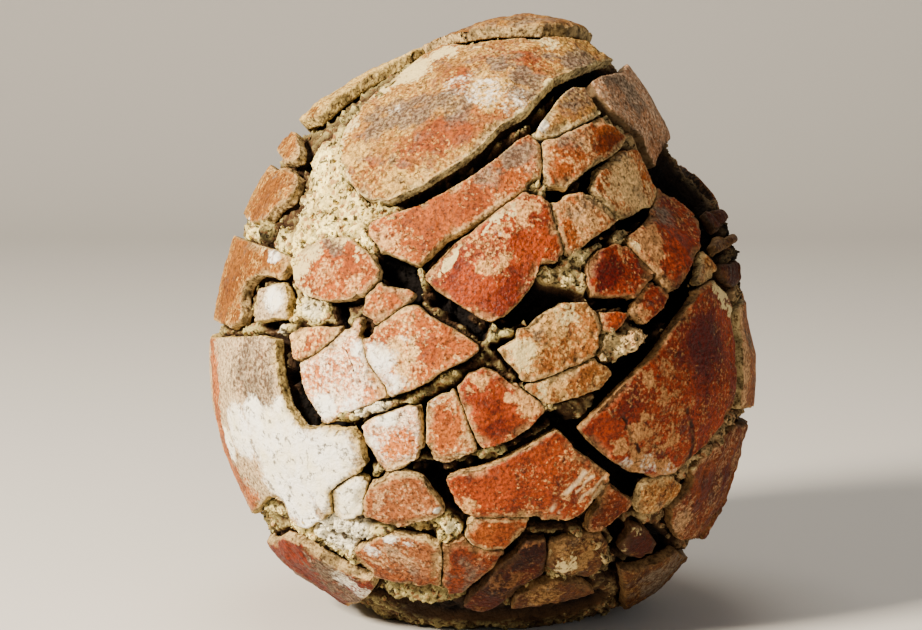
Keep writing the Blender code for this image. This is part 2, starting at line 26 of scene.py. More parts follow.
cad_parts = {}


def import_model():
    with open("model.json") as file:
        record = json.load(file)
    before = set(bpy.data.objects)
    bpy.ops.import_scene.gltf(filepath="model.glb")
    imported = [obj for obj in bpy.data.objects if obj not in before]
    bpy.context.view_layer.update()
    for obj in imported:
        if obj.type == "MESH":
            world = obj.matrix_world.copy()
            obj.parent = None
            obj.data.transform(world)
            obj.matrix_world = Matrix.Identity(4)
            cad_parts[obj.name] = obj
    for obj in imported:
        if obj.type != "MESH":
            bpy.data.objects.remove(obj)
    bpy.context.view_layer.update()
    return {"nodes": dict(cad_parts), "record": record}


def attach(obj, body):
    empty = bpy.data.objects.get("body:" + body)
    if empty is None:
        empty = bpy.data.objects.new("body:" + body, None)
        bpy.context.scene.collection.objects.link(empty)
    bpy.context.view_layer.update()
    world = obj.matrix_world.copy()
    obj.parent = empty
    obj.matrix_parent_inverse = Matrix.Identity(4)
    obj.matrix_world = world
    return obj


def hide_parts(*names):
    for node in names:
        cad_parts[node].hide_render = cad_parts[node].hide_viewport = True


LOG = logging.getLogger("egg")

MM = 0.001
EGG_CENTRE = Vector((0.0, 0.0, 67.5))
CENTRE = np.array(EGG_CENTRE)
SHELL = 3.5                # The shell's thickness.
CORE_UNDER_SURFACE = 4.4   # How far the CAD core lies under the shell's outer face.
OUTSIDE = 130.0            # A radius that lies outside the whole egg.
TO_THE_CORE = 120.0        # How far in from there a ray may run.
ENDLESS = 1e4              # Farther than anything in the scene.
TABLE = 0.05               # No part of a mesh lies lower than this.
SEED = 1923                # For the draws that place the crumbs.

# The sockets of a colour mix: how much of the upper colour shows, the lower colour, the upper.
SHARE, UNDER, OVER = 0, 6, 7

Place = tuple[float, float]
Colour = tuple[float, float, float, float]
Source = bpy.types.Node | bpy.types.NodeSocket | Colour | float


def linear(colour: str) -> Colour:
    """Turn an sRGB hex colour into linear RGBA.

    Args:
        colour: Six hex digits.

    Returns:
        The three linear channels, and full opacity.
    """
    channels = [int(colour[i:i + 2], 16) / 255 for i in (0, 2, 4)]
    red, green, blue = (c / 12.92 if c <= 0.04045 else ((c + 0.055) / 1.055) ** 2.4
                        for c in channels)
    return red, green, blue, 1.0


def add(tree: bpy.types.NodeTree, kind: str, inputs: dict[str | int, object] | None = None,
        **settings: object) -> bpy.types.Node:
    """Add a node with its settings, values and links.

    Args:
        tree: The node tree that gets the node.
        kind: The node's type name.
        inputs: Input name or index to a value, to the socket that feeds it, or to a node, whose
            first output in use then feeds it.
        **settings: The node's own properties.

    Returns:
        The new node.
    """
    node = tree.nodes.new(kind)
    for name, value in settings.items():
        setattr(node, name, value)
    for name, value in (inputs or {}).items():
        if isinstance(value, bpy.types.Node):
            value = next(socket for socket in value.outputs if socket.enabled)
        if isinstance(value, bpy.types.NodeSocket):
            tree.links.new(value, node.inputs[name])
        else:
            node.inputs[name].default_value = value
    return node


def broken(tree: bpy.types.NodeTree, strength: Source, gain: float, grain: Source, low: float,
           high: float, most: float = 1.0, step: str = "SMOOTHSTEP",
           ) -> tuple[bpy.types.Node, bpy.types.Node]:
    """Break up a coating by a finer grain, so that it thins out instead of ending in a line.

    Args:
        tree: The material's tree.
        strength: How strongly the coating is laid.
        gain: How far that strength counts against the grain.
        grain: The pattern that breaks it up.
        low: The thickness at which none of it shows.
        high: The thickness at which most of it shows.
        most: The largest share that shows.
        step: How the share rises in between.

    Returns:
        The coating's thickness, and the share of it that shows.
    """
    thickness = add(tree, "ShaderNodeMath", {0: strength, 1: gain, 2: grain}, operation="MULTIPLY_ADD")
    share = add(tree, "ShaderNodeMapRange", {
        "Value": thickness, "From Min": low, "From Max": high, "To Min": 0.0, "To Max": most},
        interpolation_type=step)
    return thickness, share


def coated(tree: bpy.types.NodeTree, colour: Source, *coats: tuple[Source, Source | str]) -> Source:
    """Lay coats of colour over one another.

    Args:
        tree: The material's tree.
        colour: The ground colour.
        *coats: From the lowest up, each coat's share and its sRGB hex colour or colour source.

    Returns:
        The colour of them all.
    """
    for share, over in coats:
        upper = linear(over) if isinstance(over, str) else over
        colour = add(tree, "ShaderNodeMix", {SHARE: share, UNDER: colour, OVER: upper},
                     data_type="RGBA")
    return colour


def ripple(points: np.ndarray, size: float, octaves: int, seed: float) -> np.ndarray:
    """Return smooth fractal noise at points.

    Args:
        points: Places in millimetres, one a row.
        size: The width of one lump, in millimetres.
        octaves: How many finer layers are added.
        seed: Moves the pattern, so two calls differ.

    Returns:
        One value for each point, from about -1 to 1.
    """
    shifted = points / size + np.array((seed, -1.7 * seed, 0.6 * seed))
    return np.array([noise.fractal(Vector(place), 1.0, 2.0, octaves) for place in shifted])


def shaken(points: np.ndarray, size: float, octaves: int, seeds: Iterable[float], by: float) -> np.ndarray:
    """Return points moved at random along each axis.

    Args:
        points: Places in millimetres, one a row.
        size: The width of one lump of the noise that moves them.
        octaves: How many finer layers it has.
        seeds: Its seed for each axis.
        by: How far it moves them at most.

    Returns:
        The moved points.
    """
    return points + np.column_stack([ripple(points, size, octaves, seed) for seed in seeds]) * by


def smooth(values: np.ndarray, low: float, high: float) -> np.ndarray:
    """Return a smooth step from 0 at low to 1 at high."""
    share = np.clip((values - low) / (high - low), 0.0, 1.0)
    return share * share * (3.0 - 2.0 * share)


def outward(points: np.ndarray) -> np.ndarray:
    """Return the directions from the egg's centre to points, one a row."""
    reach = points - CENTRE
    return reach / np.linalg.norm(reach, axis=1)[:, None]


def distances(points: np.ndarray, members: np.ndarray) -> np.ndarray:
    """Return how far each point lies from the nearest member.

    Args:
        points: Places in millimetres, one a row.
        members: True for each of them that is a member.

    Returns:
        One distance a point, 0 for a member.
    """
    tree = KDTree(int(members.sum()))
    for index in np.flatnonzero(members):
        tree.insert(points[index], int(index))
    tree.balance()
    return np.array([tree.find(place)[2] for place in points])


def rows(items: bpy.types.bpy_prop_collection, name: str) -> np.ndarray:
    """Return a vector of each item, one a row.

    Args:
        items: A mesh's vertices or vertex normals.
        name: The vector's name.

    Returns:
        The vectors.
    """
    flat = np.empty(len(items) * 3)
    items.foreach_get(name, flat)
    return flat.reshape(-1, 3)


def coordinates(mesh: bpy.types.Mesh) -> np.ndarray:
    """Return a mesh's vertices in millimetres, one a row."""
    return rows(mesh.vertices, "co") / MM


def normals(mesh: bpy.types.Mesh) -> np.ndarray:
    """Return a mesh's vertex normals, one a row."""
    return rows(mesh.vertex_normals, "vector")


def set_coordinates(mesh: bpy.types.Mesh, points: np.ndarray) -> None:
    """Move a mesh's vertices to points given in millimetres."""
    mesh.vertices.foreach_set("co", (points * MM).ravel())
    mesh.update()


def set_measure(mesh: bpy.types.Mesh, name: str, values: np.ndarray) -> None:
    """Store one number a vertex, for the materials to read."""
    mesh.attributes.new(name, "FLOAT", "POINT").data.foreach_set("value", values)


def drawn(work: bmesh.types.BMesh, name: str) -> bpy.types.Mesh:
    """Return a new mesh with a working mesh's shape, and let the working mesh go.

    Args:
        work: The working mesh.
        name: The new mesh's name.

    Returns:
        The new mesh.
    """
    mesh = bpy.data.meshes.new(name)
    work.to_mesh(mesh)
    work.free()
    return mesh


def placed(name: str, data: bpy.types.ID) -> bpy.types.Object:
    """Add an object to the scene.

    Args:
        name: The object's name.
        data: Its mesh, light or camera.

    Returns:
        The object.
    """
    thing = bpy.data.objects.new(name, data)
    bpy.context.scene.collection.objects.link(thing)
    return thing


def applied(mesh: bpy.types.Mesh, kind: str, groups: dict[str, np.ndarray] | None = None,
            **settings: object) -> bpy.types.Mesh:
    """Return a mesh with one modifier applied.

    Args:
        mesh: The mesh to start from.
        kind: The modifier's type name.
        groups: Vertex group names and the vertices in each.
        **settings: The modifier's own properties.

    Returns:
        A new mesh.
    """
    carrier = placed("carrier", mesh)
    for name, members in (groups or {}).items():
        carrier.vertex_groups.new(name=name).add([int(i) for i in members], 1.0, "REPLACE")
    modifier = carrier.modifiers.new(kind.lower(), kind)
    for name, value in settings.items():
        setattr(modifier, name, value)
    depsgraph = bpy.context.evaluated_depsgraph_get()
    result = bpy.data.meshes.new_from_object(carrier.evaluated_get(depsgraph))
    bpy.data.objects.remove(carrier, do_unlink=True)
    return result


@dataclass(frozen=True)
class Board:
    """The drawing board that marks and strokes are laid out on, and the camera before it.

    Attributes:
        tilt: How far the board leans back.
        distance: How far the camera stands from it.
        foot: The height on the board that lies at the table.
        middle: The board point that the camera faces.
        frame_width: How much of the board's width the camera sees.
        sensor: The width of the camera's sensor.
    """

    tilt: float = math.radians(8.0)
    distance: float = 800.0
    foot: float = 5.2
    middle: Place = (-5.28, 80.1)
    frame_width: float = 256.1
    sensor: float = 36.0

    @property
    def up(self) -> Vector:
        """The board's upward direction."""
        return Vector((0.0, math.sin(self.tilt), math.cos(self.tilt)))

    @property
    def out(self) -> Vector:
        """The direction from the board to the camera."""
        return Vector((0.0, -math.cos(self.tilt), math.sin(self.tilt)))

    def place(self, across: float, up: float) -> Vector:
        """Return a board point's place in space, in millimetres."""
        return Vector((across, 0.0, 0.0)) + self.up * (up - self.foot)

    @property
    def eye(self) -> Vector:
        """The camera's place, in millimetres."""
        across, up = self.middle
        return Vector((across, 0.0, 0.0)) + self.up * up + self.out * self.distance

    def camera(self) -> bpy.types.Object:
        """Add the camera square to the board.

        Returns:
            The camera, set as the scene's own.
        """
        data = bpy.data.cameras.new("camera")
        data.sensor_width = self.sensor
        data.lens = self.sensor * self.distance / self.frame_width
        data.clip_start = 0.01
        data.clip_end = 20.0
        camera = placed("camera", data)
        axes = Matrix((Vector((1.0, 0.0, 0.0)), self.up, self.out)).transposed()
        camera.matrix_world = Matrix.Translation(self.eye * MM) @ axes.to_4x4()
        bpy.context.scene.camera = camera
        return camera


class Surface:
    """A set of meshes that rays can be sent against, in millimetres."""

    def __init__(self, meshes: list[bpy.types.Mesh]) -> None:
        """Gather the meshes in one tree.

        Args:
            meshes: The meshes.
        """
        points: list[np.ndarray] = []
        faces: list[list[int]] = []
        start = 0
        for mesh in meshes:
            points.append(coordinates(mesh))
            faces.extend([start + i for i in face.vertices] for face in mesh.polygons)
            start += len(mesh.vertices)
        self.tree = BVHTree.FromPolygons(np.concatenate(points).tolist(), faces)

    def hit(self, start: Vector, direction: Vector, reach: float = ENDLESS) -> Vector | None:
        """Return where a ray first meets the surface within reach, or None."""
        return self.tree.ray_cast(start, direction, reach)[0]

    def clearance(self, place: Vector, reach: float) -> float:
        """Return the distance to the surface, or the reach where it is farther."""
        distance = self.tree.find_nearest(place, reach)[3]
        return reach if distance is None else distance

    def radius_outside(self, direction: Vector) -> float | None:
        """Return the surface's outermost radius along a direction, or None."""
        found = self.hit(EGG_CENTRE + direction * OUTSIDE, -direction, TO_THE_CORE)
        return (found - EGG_CENTRE).length if found else None

    def radius_inside(self, direction: Vector) -> float | None:
        """Return the surface's innermost radius along a direction, or None."""
        found = self.hit(EGG_CENTRE, direction)
        return (found - EGG_CENTRE).length if found else None


class Kind(Enum):
    """What a mark on the shell is."""

    BLOOM = "chalky bloom"
    CRUST = "lime crust"
    STAIN = "grey manganese stain"
    FRESH = "clean unweathered shell"
    IRON = "iron-rich red shell"
    SILT = "film of cream silt"
    CRACK = "hairline crack"
    SCRATCH = "pale scratch"


@dataclass(frozen=True)
class Mark:
    """A soft-edged patch on the surface.

    Attributes:
        kind: What it is.
        across: Its middle's place across the board.
        up: Its middle's height on the board.
        radius: How far it reaches.
        strength: How much of it shows.
        end: Where it ends, if it is a line that starts at the middle.
    """

    kind: Kind
    across: float
    up: float
    radius: float
    strength: float = 1.0
    end: Place | None = None


@dataclass(frozen=True)
class Stroke:
    """A stretch of sediment laid between two board points.

    Attributes:
        start: Where it starts.
        end: Where it ends.
        radius: Its half-width.
        depth: How far it lies under the shell's outer face. A small depth fills a gap, and a large
            one leaves it open.
    """

    start: Place
    end: Place
    radius: float
    depth: float


@dataclass(frozen=True)
class Eggshell:
    """Fossil eggshell: calcite stained by iron, dull, with a fine nodular surface.

    Attributes:
        base: The shell's own colour.
        deep: The darker, redder mottling.
        pale: The chalky bloom over it, whose grains are also painted glints.
        bloom: How much of the shell the bloom covers.
        crust: How much of it white lime covers.
        stain: How much of it is stained grey.
        gloss: How far the worn surface shines.
        edge: The broken edge's colour.
    """

    base: str
    deep: str
    pale: str = "D9B898"
    bloom: float = 0.30
    crust: float = 0.0
    stain: float = 0.08
    gloss: float = 0.35
    edge: str = "CCAE74"


# Rich in iron and worn clean: brick to blood red, with a slight shine on the worn face.
BRICK = Eggshell(base="923808", deep="621C04", pale="DDA662", bloom=0.18, stain=0.02, gloss=0.7,
                 edge="C09A62")
GARNET = Eggshell(base="882E08", deep="4E0C02", pale="B8844E", bloom=0.14, stain=0.03, gloss=0.6,
                  edge="9E784A")
# Rich in iron under a thin chalky bloom: rusty reds that look dry.
RUST = Eggshell(base="964A16", deep="6A2A0A", pale="D8A466", bloom=0.26, stain=0.05)
RUSSET = Eggshell(base="743010", deep="481406", pale="BE8A5A", bloom=0.20, stain=0.06, edge="9E784A")
CINNAMON = Eggshell(base="74381A", deep="4E1606", pale="A8825A", bloom=0.24, stain=0.10, edge="7A5C38")
# Stained through by soil and manganese: nearly black reds and browns, with dark edges too. The first of
# them carries painted shade as well, for the plates at the foot and the right edge that lie in the egg's
# shade.
SHADED_OXBLOOD = Eggshell(base="401406", deep="1E0602", pale="6A4628", bloom=0.14, stain=0.06, edge="4A3420")
UMBER = Eggshell(base="543016", deep="321606", pale="8A683C", bloom=0.24, stain=0.12, edge="7A5C38")
SOOTED = Eggshell(base="7A3A12", deep="562206", pale="A87A48", bloom=0.26, stain=0.14, edge="1C140E")
PATCHED = Eggshell(base="6E2408", deep="481002", pale="98845E", bloom=0.08, stain=0.10)
# Half bleached: tan to orange-pink shell under a matt haze.
SALMON = Eggshell(base="A85822", deep="823812", pale="EEC27E", bloom=0.34, stain=0.04)
DUSKY = Eggshell(base="96582E", deep="743612", pale="C89C6C", bloom=0.20, stain=0.14)
FAWN = Eggshell(base="A8744C", deep="80502C", pale="D0AE8A", bloom=0.38, stain=0.18, edge="665238")
OCHRE = Eggshell(base="84501A", deep="64350C", pale="C69A50", bloom=0.28, stain=0.14)
TAN = Eggshell(base="965A26", deep="6C3812", pale="CC9E5C", bloom=0.32, stain=0.10)
# Weathered most: chalky straw and cream, flat and powdery.
STRAW = Eggshell(base="845218", deep="663408", pale="B68C44", bloom=0.46, stain=0.26)
DRAB = Eggshell(base="94662C", deep="823E14", pale="CCA456", bloom=0.34, stain=0.24, edge="D8C48A")
CREAM = Eggshell(base="946824", deep="70400F", pale="D0B064", bloom=0.62, stain=0.12, edge="DCBE74")
# Under white lime: pale all over, with only freckles of the shell showing.
BLANCHED = Eggshell(base="C87636", deep="A85428", pale="FFEAC8", bloom=0.50, crust=0.04, stain=0.02)
LIMED = Eggshell(base="B2642A", deep="8A4A20", pale="C0AC86", bloom=0.95, crust=0.04, stain=0.18,
                 edge="D8BC74")


def mark(kind: Kind, *places: tuple[float, ...]) -> tuple[Mark, ...]:
    """Return marks of one kind, each from its across, up, radius and strength."""
    return tuple(Mark(kind, *place) for place in places)


def line(kind: Kind, half_width: float, *points: Place) -> tuple[Mark, ...]:
    """Return a line of one kind along board points."""
    return tuple(Mark(kind, *a, half_width, 1.0, b) for a, b in zip(points, points[1:]))


@dataclass(frozen=True)
class PlateLook:
    """How one shell plate looks.

    Attributes:
        finish: Its shell.
        marks: The patches and lines on it.
        shards: How many shards it is broken into.
        relief: How rough its outer face is, against a common plate's.
        worn: How many times its corners are smoothed away.
    """

    finish: Eggshell
    marks: tuple[Mark, ...] = ()
    shards: int = 1
    relief: float = 1.0
    worn: int = 0


PLATES: dict[str, PlateLook] = {
    "shell_cap": PlateLook(
        STRAW, mark(Kind.CRUST, (4, 167, 6, 0.3))
        + mark(Kind.STAIN, (14, 166, 12, 0.6), (-4, 164, 10, 0.5))
        + mark(Kind.FRESH, (-4, 165, 12, 0.7), (10, 167, 12, 0.4), (26, 164, 12, 0.7)), shards=3,
        relief=2.4),
    "shell_crown_rim": PlateLook(
        CREAM, mark(Kind.FRESH, (-46, 139, 6, 0.9))
        + line(Kind.FRESH, 2.2, (-45, 140), (-36, 149), (-24, 157))
        + line(Kind.IRON, 2.0, (-45, 140), (-36, 148.5), (-24, 156))
        + line(Kind.SILT, 2.3, (-44, 134), (-37, 141), (-28, 148), (-20, 153)), shards=2, relief=2.6),
    "shell_crown": PlateLook(
        DRAB,
        mark(Kind.FRESH, (-4, 136, 7, 0.9), (-13, 134, 7, 0.8), (3, 139, 4, 0.8), (-6, 152, 4),
            (14, 157, 4, 0.8), (-28, 128, 4, 0.6), (-18, 127, 5, 0.5))
        + mark(Kind.IRON, (-5, 136, 6), (-13, 133, 6), (-19, 129, 5, 0.6), (-6, 151, 4, 0.8),
              (13, 156, 4, 0.6), (24, 158, 3, 0.5), (-30, 128, 4, 0.5))
        + mark(Kind.CRUST, (2, 146, 9, 0.43), (-5, 149, 8, 0.4), (9, 143, 7, 0.4), (-23, 141, 4, 0.35))
        + mark(Kind.BLOOM, (2, 147, 7, 0.8))
        + mark(Kind.STAIN, (13, 150, 6), (27, 155, 8), (-8, 143, 8, 0.9), (-17, 141, 8, 0.95),
              (-26, 139, 8, 0.95), (14, 145, 5), (-25, 125, 4, 0.6), (8, 154, 5, 0.8),
              (18, 139, 4, 0.7))
        + mark(Kind.SILT, (-18, 152, 8, 0.9), (-10, 157, 6, 0.9), (-27, 147, 5, 0.9), (-41, 131, 5),
              (-40, 121, 6), (-34, 116, 5, 0.9), (18, 160, 4, 0.7), (2, 158, 3, 0.6),
              (-36, 137, 5, 0.7)) + line(Kind.SILT, 2.0, (9, 138), (15, 143), (20, 149))
        + mark(Kind.BLOOM, (-22, 121, 7), (-34, 129, 6), (-12, 123, 5, 0.8), (-2, 129, 3, 0.7)),
        relief=1.3),
    "shell_crown_chip": PlateLook(
        DRAB, mark(Kind.STAIN, (26, 146, 7, 0.8), (18, 140, 4, 0.5))
        + mark(Kind.FRESH, (26, 141, 5, 0.8)) + mark(Kind.CRUST, (17, 138, 3, 0.7))),
    "shell_shoulder_right": PlateLook(
        FAWN, mark(Kind.FRESH, (49, 129, 6, 0.9)) + mark(Kind.IRON, (50, 129, 6), (46, 126, 4, 0.7))
        + mark(Kind.STAIN, (42, 146, 9, 0.7), (50, 141, 7, 0.7), (36, 150, 5, 0.6))
        + mark(Kind.BLOOM, (40, 149, 7, 0.7), (46, 143, 6, 0.6)), relief=2.2, worn=2),
    "shell_brow_right": PlateLook(
        RUST, mark(Kind.FRESH, (34, 133, 6), (26, 130, 5, 0.8), (22, 126, 4, 0.6))
        + mark(Kind.IRON, (36, 132, 5), (30, 137, 3, 0.6))
        + mark(Kind.BLOOM, (20, 136, 4, 0.7), (28, 130, 11, 0.55))
        + mark(Kind.STAIN, (26, 134, 6, 0.5))),
    "shell_brow_left": PlateLook(
        RUST, mark(Kind.FRESH, (-12, 112, 9), (-5, 119, 5, 0.6))
        + mark(Kind.STAIN, (11, 130, 6, 0.9), (2, 124, 5, 0.6))
        + mark(Kind.BLOOM, (-26, 106, 4, 0.9), (5, 117, 4, 0.5))),
    "shell_collar_left_top": PlateLook(
        OCHRE, mark(Kind.STAIN, (-50, 131, 3, 0.6)) + mark(Kind.BLOOM, (-50, 128, 4, 0.6)), relief=1.6,
        worn=3),
    "shell_collar_left": PlateLook(
        OCHRE, mark(Kind.FRESH, (-59, 119, 6, 0.9), (-62, 114, 5, 0.9))
        + mark(Kind.CRUST, (-65, 110, 3, 0.8)) + mark(Kind.STAIN, (-56, 124, 3, 0.6)), relief=1.4),
    "shell_middle": PlateLook(
        BRICK,
        mark(Kind.BLOOM, (1, 98.5, 3.4), (4, 97.5, 3, 0.9), (5, 108, 2.2), (12, 115, 4, 0.8),
            (-2, 86, 3, 0.5)) + mark(Kind.CRUST, (4.5, 107.5, 1.6, 0.8))
        + mark(Kind.FRESH, (-4, 93, 6, 0.8), (5, 90, 8), (14, 103, 7, 0.9))
        + mark(Kind.IRON, (11, 93, 4, 0.7), (-6, 98, 3, 0.5))
        + line(Kind.SILT, 1.5, (-13, 94), (-7, 102), (3, 109.5), (10, 115.5))),
    "shell_middle_right": PlateLook(
        RUST, mark(Kind.FRESH, (24, 109, 3, 0.8)) + mark(Kind.BLOOM, (29, 113, 10, 0.65))
        + mark(Kind.STAIN, (30, 117, 5, 0.6), (26, 114, 4, 0.5))),
    "shell_granular": PlateLook(
        SALMON, mark(Kind.BLOOM, (41, 121, 11, 0.85), (44, 115, 5, 0.8))
        + mark(Kind.FRESH, (33, 122, 2.5)) + mark(Kind.STAIN, (40, 128, 3, 0.7), (44, 120, 4, 0.5)),
        relief=2.8),
    "shell_cheek_right": PlateLook(
        GARNET, mark(Kind.BLOOM, (46, 106, 7), (47, 98, 6, 0.8), (42, 103, 5))
        + mark(Kind.SILT, (42, 104, 3.5, 0.8)) + mark(Kind.FRESH, (56, 102, 8, 0.9))
        + mark(Kind.STAIN, (50, 113, 6, 0.8)), relief=1.8),
    "shell_dark_red": PlateLook(
        GARNET, mark(Kind.BLOOM, (30, 93, 2.2, 0.8), (38, 104, 2.5, 0.7)) + mark(Kind.IRON, (35, 97, 5))
        + mark(Kind.FRESH, (38, 96, 5, 0.7))),
    "shell_chip_outer": PlateLook(GARNET, mark(Kind.BLOOM, (44, 84, 5, 0.9), (47, 81, 4, 0.5))),
    "shell_chip_inner": PlateLook(
        BRICK, mark(Kind.BLOOM, (42, 80, 2, 0.6)) + mark(Kind.FRESH, (40, 84, 6))),
    "shell_tan": PlateLook(
        TAN, mark(Kind.FRESH, (32, 80, 3), (26, 71, 4, 0.6), (22, 78, 3, 0.5))
        + mark(Kind.BLOOM, (20, 84, 7), (12, 76, 5))
        + mark(Kind.SILT, (11, 75, 5, 0.8), (24, 86, 5, 0.6)) + mark(Kind.STAIN, (18, 79, 3, 0.5)),
        relief=2.4),
    "shell_pinkish": PlateLook(
        TAN, mark(Kind.BLOOM, (20, 64, 6, 0.8)) + mark(Kind.SILT, (17, 65, 4, 0.6))
        + mark(Kind.FRESH, (28, 68, 4, 0.8), (12, 62, 3, 0.6)), relief=1.6),
    "shell_orange_middle": PlateLook(
        BRICK, mark(Kind.FRESH, (5, 57, 8)) + mark(Kind.IRON, (5, 56, 4, 0.7))
        + mark(Kind.BLOOM, (13, 61, 5, 0.9), (1, 68, 4, 0.6), (9, 49, 3, 0.6))),
    "shell_orange_pink": PlateLook(
        SALMON, mark(Kind.FRESH, (-10, 54, 5, 0.8))
        + mark(Kind.CRUST, (-13, 61, 3, 0.5), (-5, 46, 3, 0.4))),
    "shell_pale_pink": PlateLook(
        BLANCHED, mark(Kind.CRUST, (-26, 58, 4.5, 0.9), (-30, 50, 3, 0.7), (-19, 45, 3, 0.5))
        + mark(Kind.FRESH, (-22, 50, 6, 0.7))),
    "shell_white_tipped": PlateLook(
        SALMON, mark(Kind.CRUST, (-28, 73, 6, 0.75), (-24, 66, 5, 0.65), (-20, 79, 3, 0.4))
        + mark(Kind.BLOOM, (-22, 72, 8, 0.7)) + mark(Kind.FRESH, (-10, 77, 7, 0.8), (-16, 80, 4, 0.6))
        + mark(Kind.IRON, (-8, 78, 4, 0.5))),
    "shell_flank_pale": PlateLook(
        BLANCHED,
        mark(Kind.CRUST, (-43, 60, 4.5), (-36, 60, 3.5, 0.7), (-33, 76, 3.5, 0.8), (-35, 70, 3, 0.5))
        + mark(Kind.FRESH, (-46, 69, 3.5, 0.8), (-40, 70, 4, 0.6), (-29, 65, 3, 0.6))
        + line(Kind.CRACK, 0.25, (-37, 76), (-36, 72), (-35, 69))),
    "shell_flank_strip": PlateLook(SALMON, mark(Kind.BLOOM, (-50, 78, 4, 0.8))),
    "shell_flank_upper": PlateLook(
        RUST,
        mark(Kind.SILT, (-51, 97, 6, 0.9), (-47, 104, 6, 0.8), (-38, 107, 4, 0.8), (-32, 104, 4, 0.6),
            (-49, 88, 6, 0.8)) + mark(Kind.BLOOM, (-42, 96, 5, 0.6), (-34, 93, 4, 0.6))
        + mark(Kind.STAIN, (-41, 105, 4.5), (-51, 91, 3, 0.7)) + mark(Kind.FRESH, (-37, 99, 5, 0.8))),
    "shell_flank_chip": PlateLook(
        RUST, mark(Kind.FRESH, (-24, 84, 5, 0.9), (-30, 82, 4, 0.8))
        + mark(Kind.IRON, (-26, 83, 4, 0.4))),
    "shell_limb_left": PlateLook(
        OCHRE, mark(Kind.FRESH, (-66, 103, 8), (-70, 92, 8), (-60, 98, 4, 0.8))
        + mark(Kind.IRON, (-69, 94, 6, 0.4)) + mark(Kind.CRUST, (-57, 102, 3, 0.8))
        + mark(Kind.SILT, (-65, 84, 4, 0.7), (-60, 104, 3, 0.6)), relief=1.8, worn=2),
    "shell_cream_chip": PlateLook(LIMED, mark(Kind.CRUST, (-57, 90, 5, 0.8))),
    "shell_encrusted": PlateLook(
        LIMED,
        mark(Kind.CRUST, (-66, 53, 9), (-57, 50, 12), (-49, 45, 12), (-51, 35, 9), (-41, 47, 9),
            (-62, 58, 6), (-42, 38, 9), (-69, 50, 6), (-54, 58, 6), (-55, 40, 9), (-47, 29, 6))
        + mark(Kind.STAIN, (-63, 75, 9, 0.8), (-61, 65, 9, 0.9), (-55, 77, 6, 0.8), (-66, 69, 6, 0.9),
              (-45, 31, 3, 0.7))
        + line(Kind.FRESH, 5.5, (-73, 82), (-73, 70), (-72, 58), (-69.5, 48), (-65, 38), (-60, 31))
        + mark(Kind.FRESH, (-67, 40, 9), (-62, 33, 9), (-57, 28, 4, 0.8))
        + line(Kind.IRON, 2.5, (-73.5, 80), (-73.5, 68), (-71, 54), (-66, 40), (-61, 32))
        + mark(Kind.SILT, (-52, 68, 2.5, 0.7), (-49, 60, 3, 0.8))
        + line(Kind.CRACK, 0.5, (-42.3, 48.5), (-40.5, 50.5), (-39.5, 53)), relief=1.4),
    "shell_white_crumb": PlateLook(LIMED, mark(Kind.CRUST, (-37, 34, 9), (-35, 38, 5), (-37, 30, 5))),
    "shell_pinkish_tan": PlateLook(
        DUSKY, mark(Kind.CRUST, (-12, 31, 1.6, 0.9)) + mark(Kind.BLOOM, (-28, 35, 4, 0.5))),
    "shell_long_orange": PlateLook(
        BRICK, mark(Kind.BLOOM, (-4, 32, 4), (24, 35, 3, 0.7), (29, 42, 4, 0.6))
        + mark(Kind.FRESH, (6, 38, 8), (20, 32, 4), (14, 47, 7, 0.6))
        + line(Kind.SCRATCH, 1.0, (19.3, 32), (29, 42)) + line(Kind.SCRATCH, 0.8, (24, 31.5), (34, 40))
        + line(Kind.SCRATCH, 0.7, (21.5, 31), (31, 41))
        + line(Kind.SCRATCH, 0.7, (27, 31), (34, 37.5))),
    "shell_flank_right": PlateLook(
        GARNET,
        mark(Kind.BLOOM, (45, 53, 5, 0.8), (43, 45, 5), (46.5, 66, 2.5), (51, 62, 4, 0.7),
            (53, 51, 4, 0.7), (52, 71, 3, 0.6), (57, 60, 3, 0.5))
        + mark(Kind.CRUST, (40, 44, 3, 0.5), (46, 44, 5, 0.42), (52, 42, 4, 0.38))
        + line(Kind.BLOOM, 2.6, (37, 49), (45, 44), (54, 41))
        + line(Kind.SILT, 2.6, (65, 93), (70, 84), (72.5, 72), (71.5, 60), (66, 50))
        + mark(Kind.FRESH, (62, 78, 9), (33, 54, 5, 0.9), (60, 65, 5, 0.7), (41, 60, 3, 0.7))
        + mark(Kind.IRON, (62, 80, 9), (62, 68, 4, 0.6))
        + line(Kind.CRACK, 1.1, (57, 59), (58.5, 54), (58.5, 49), (57, 44))
        + line(Kind.CRACK, 0.7, (40, 57), (43, 50), (44, 47))),
    "shell_grain_middle": PlateLook(TAN, mark(Kind.STAIN, (62, 98, 6, 0.5)), relief=2.4, worn=14),
    "shell_grain_top": PlateLook(SHADED_OXBLOOD, shards=3, relief=2.4, worn=20),
    "shell_grain_upper": PlateLook(
        UMBER, mark(Kind.STAIN, (66, 106, 6, 0.5)), shards=3, relief=2.4, worn=20),
    "shell_grain_lower": PlateLook(SHADED_OXBLOOD, shards=3, relief=2.4, worn=20),
    "shell_brown_chip": PlateLook(RUSSET, mark(Kind.BLOOM, (36, 36, 3, 0.5)), relief=1.5, worn=3),
    "shell_foot_beige": PlateLook(TAN, mark(Kind.STAIN, (49, 31, 4, 0.6)), relief=1.8, worn=4),
    "shell_limb_right": PlateLook(
        CINNAMON, mark(Kind.FRESH, (62, 38, 7)) + mark(Kind.IRON, (62, 37, 5, 0.6))
        + line(Kind.FRESH, 2.6, (71, 50), (68, 41), (64, 29))
        + line(Kind.IRON, 2.2, (71, 49), (68, 41), (64, 30))
        + line(Kind.BLOOM, 3.0, (68, 56), (61, 46), (55, 38))
        + mark(Kind.BLOOM, (73, 56, 5), (57, 30, 5, 0.7))
        + line(Kind.SILT, 1.8, (68, 57), (61, 47), (54, 38)), shards=2, relief=3.4, worn=8),
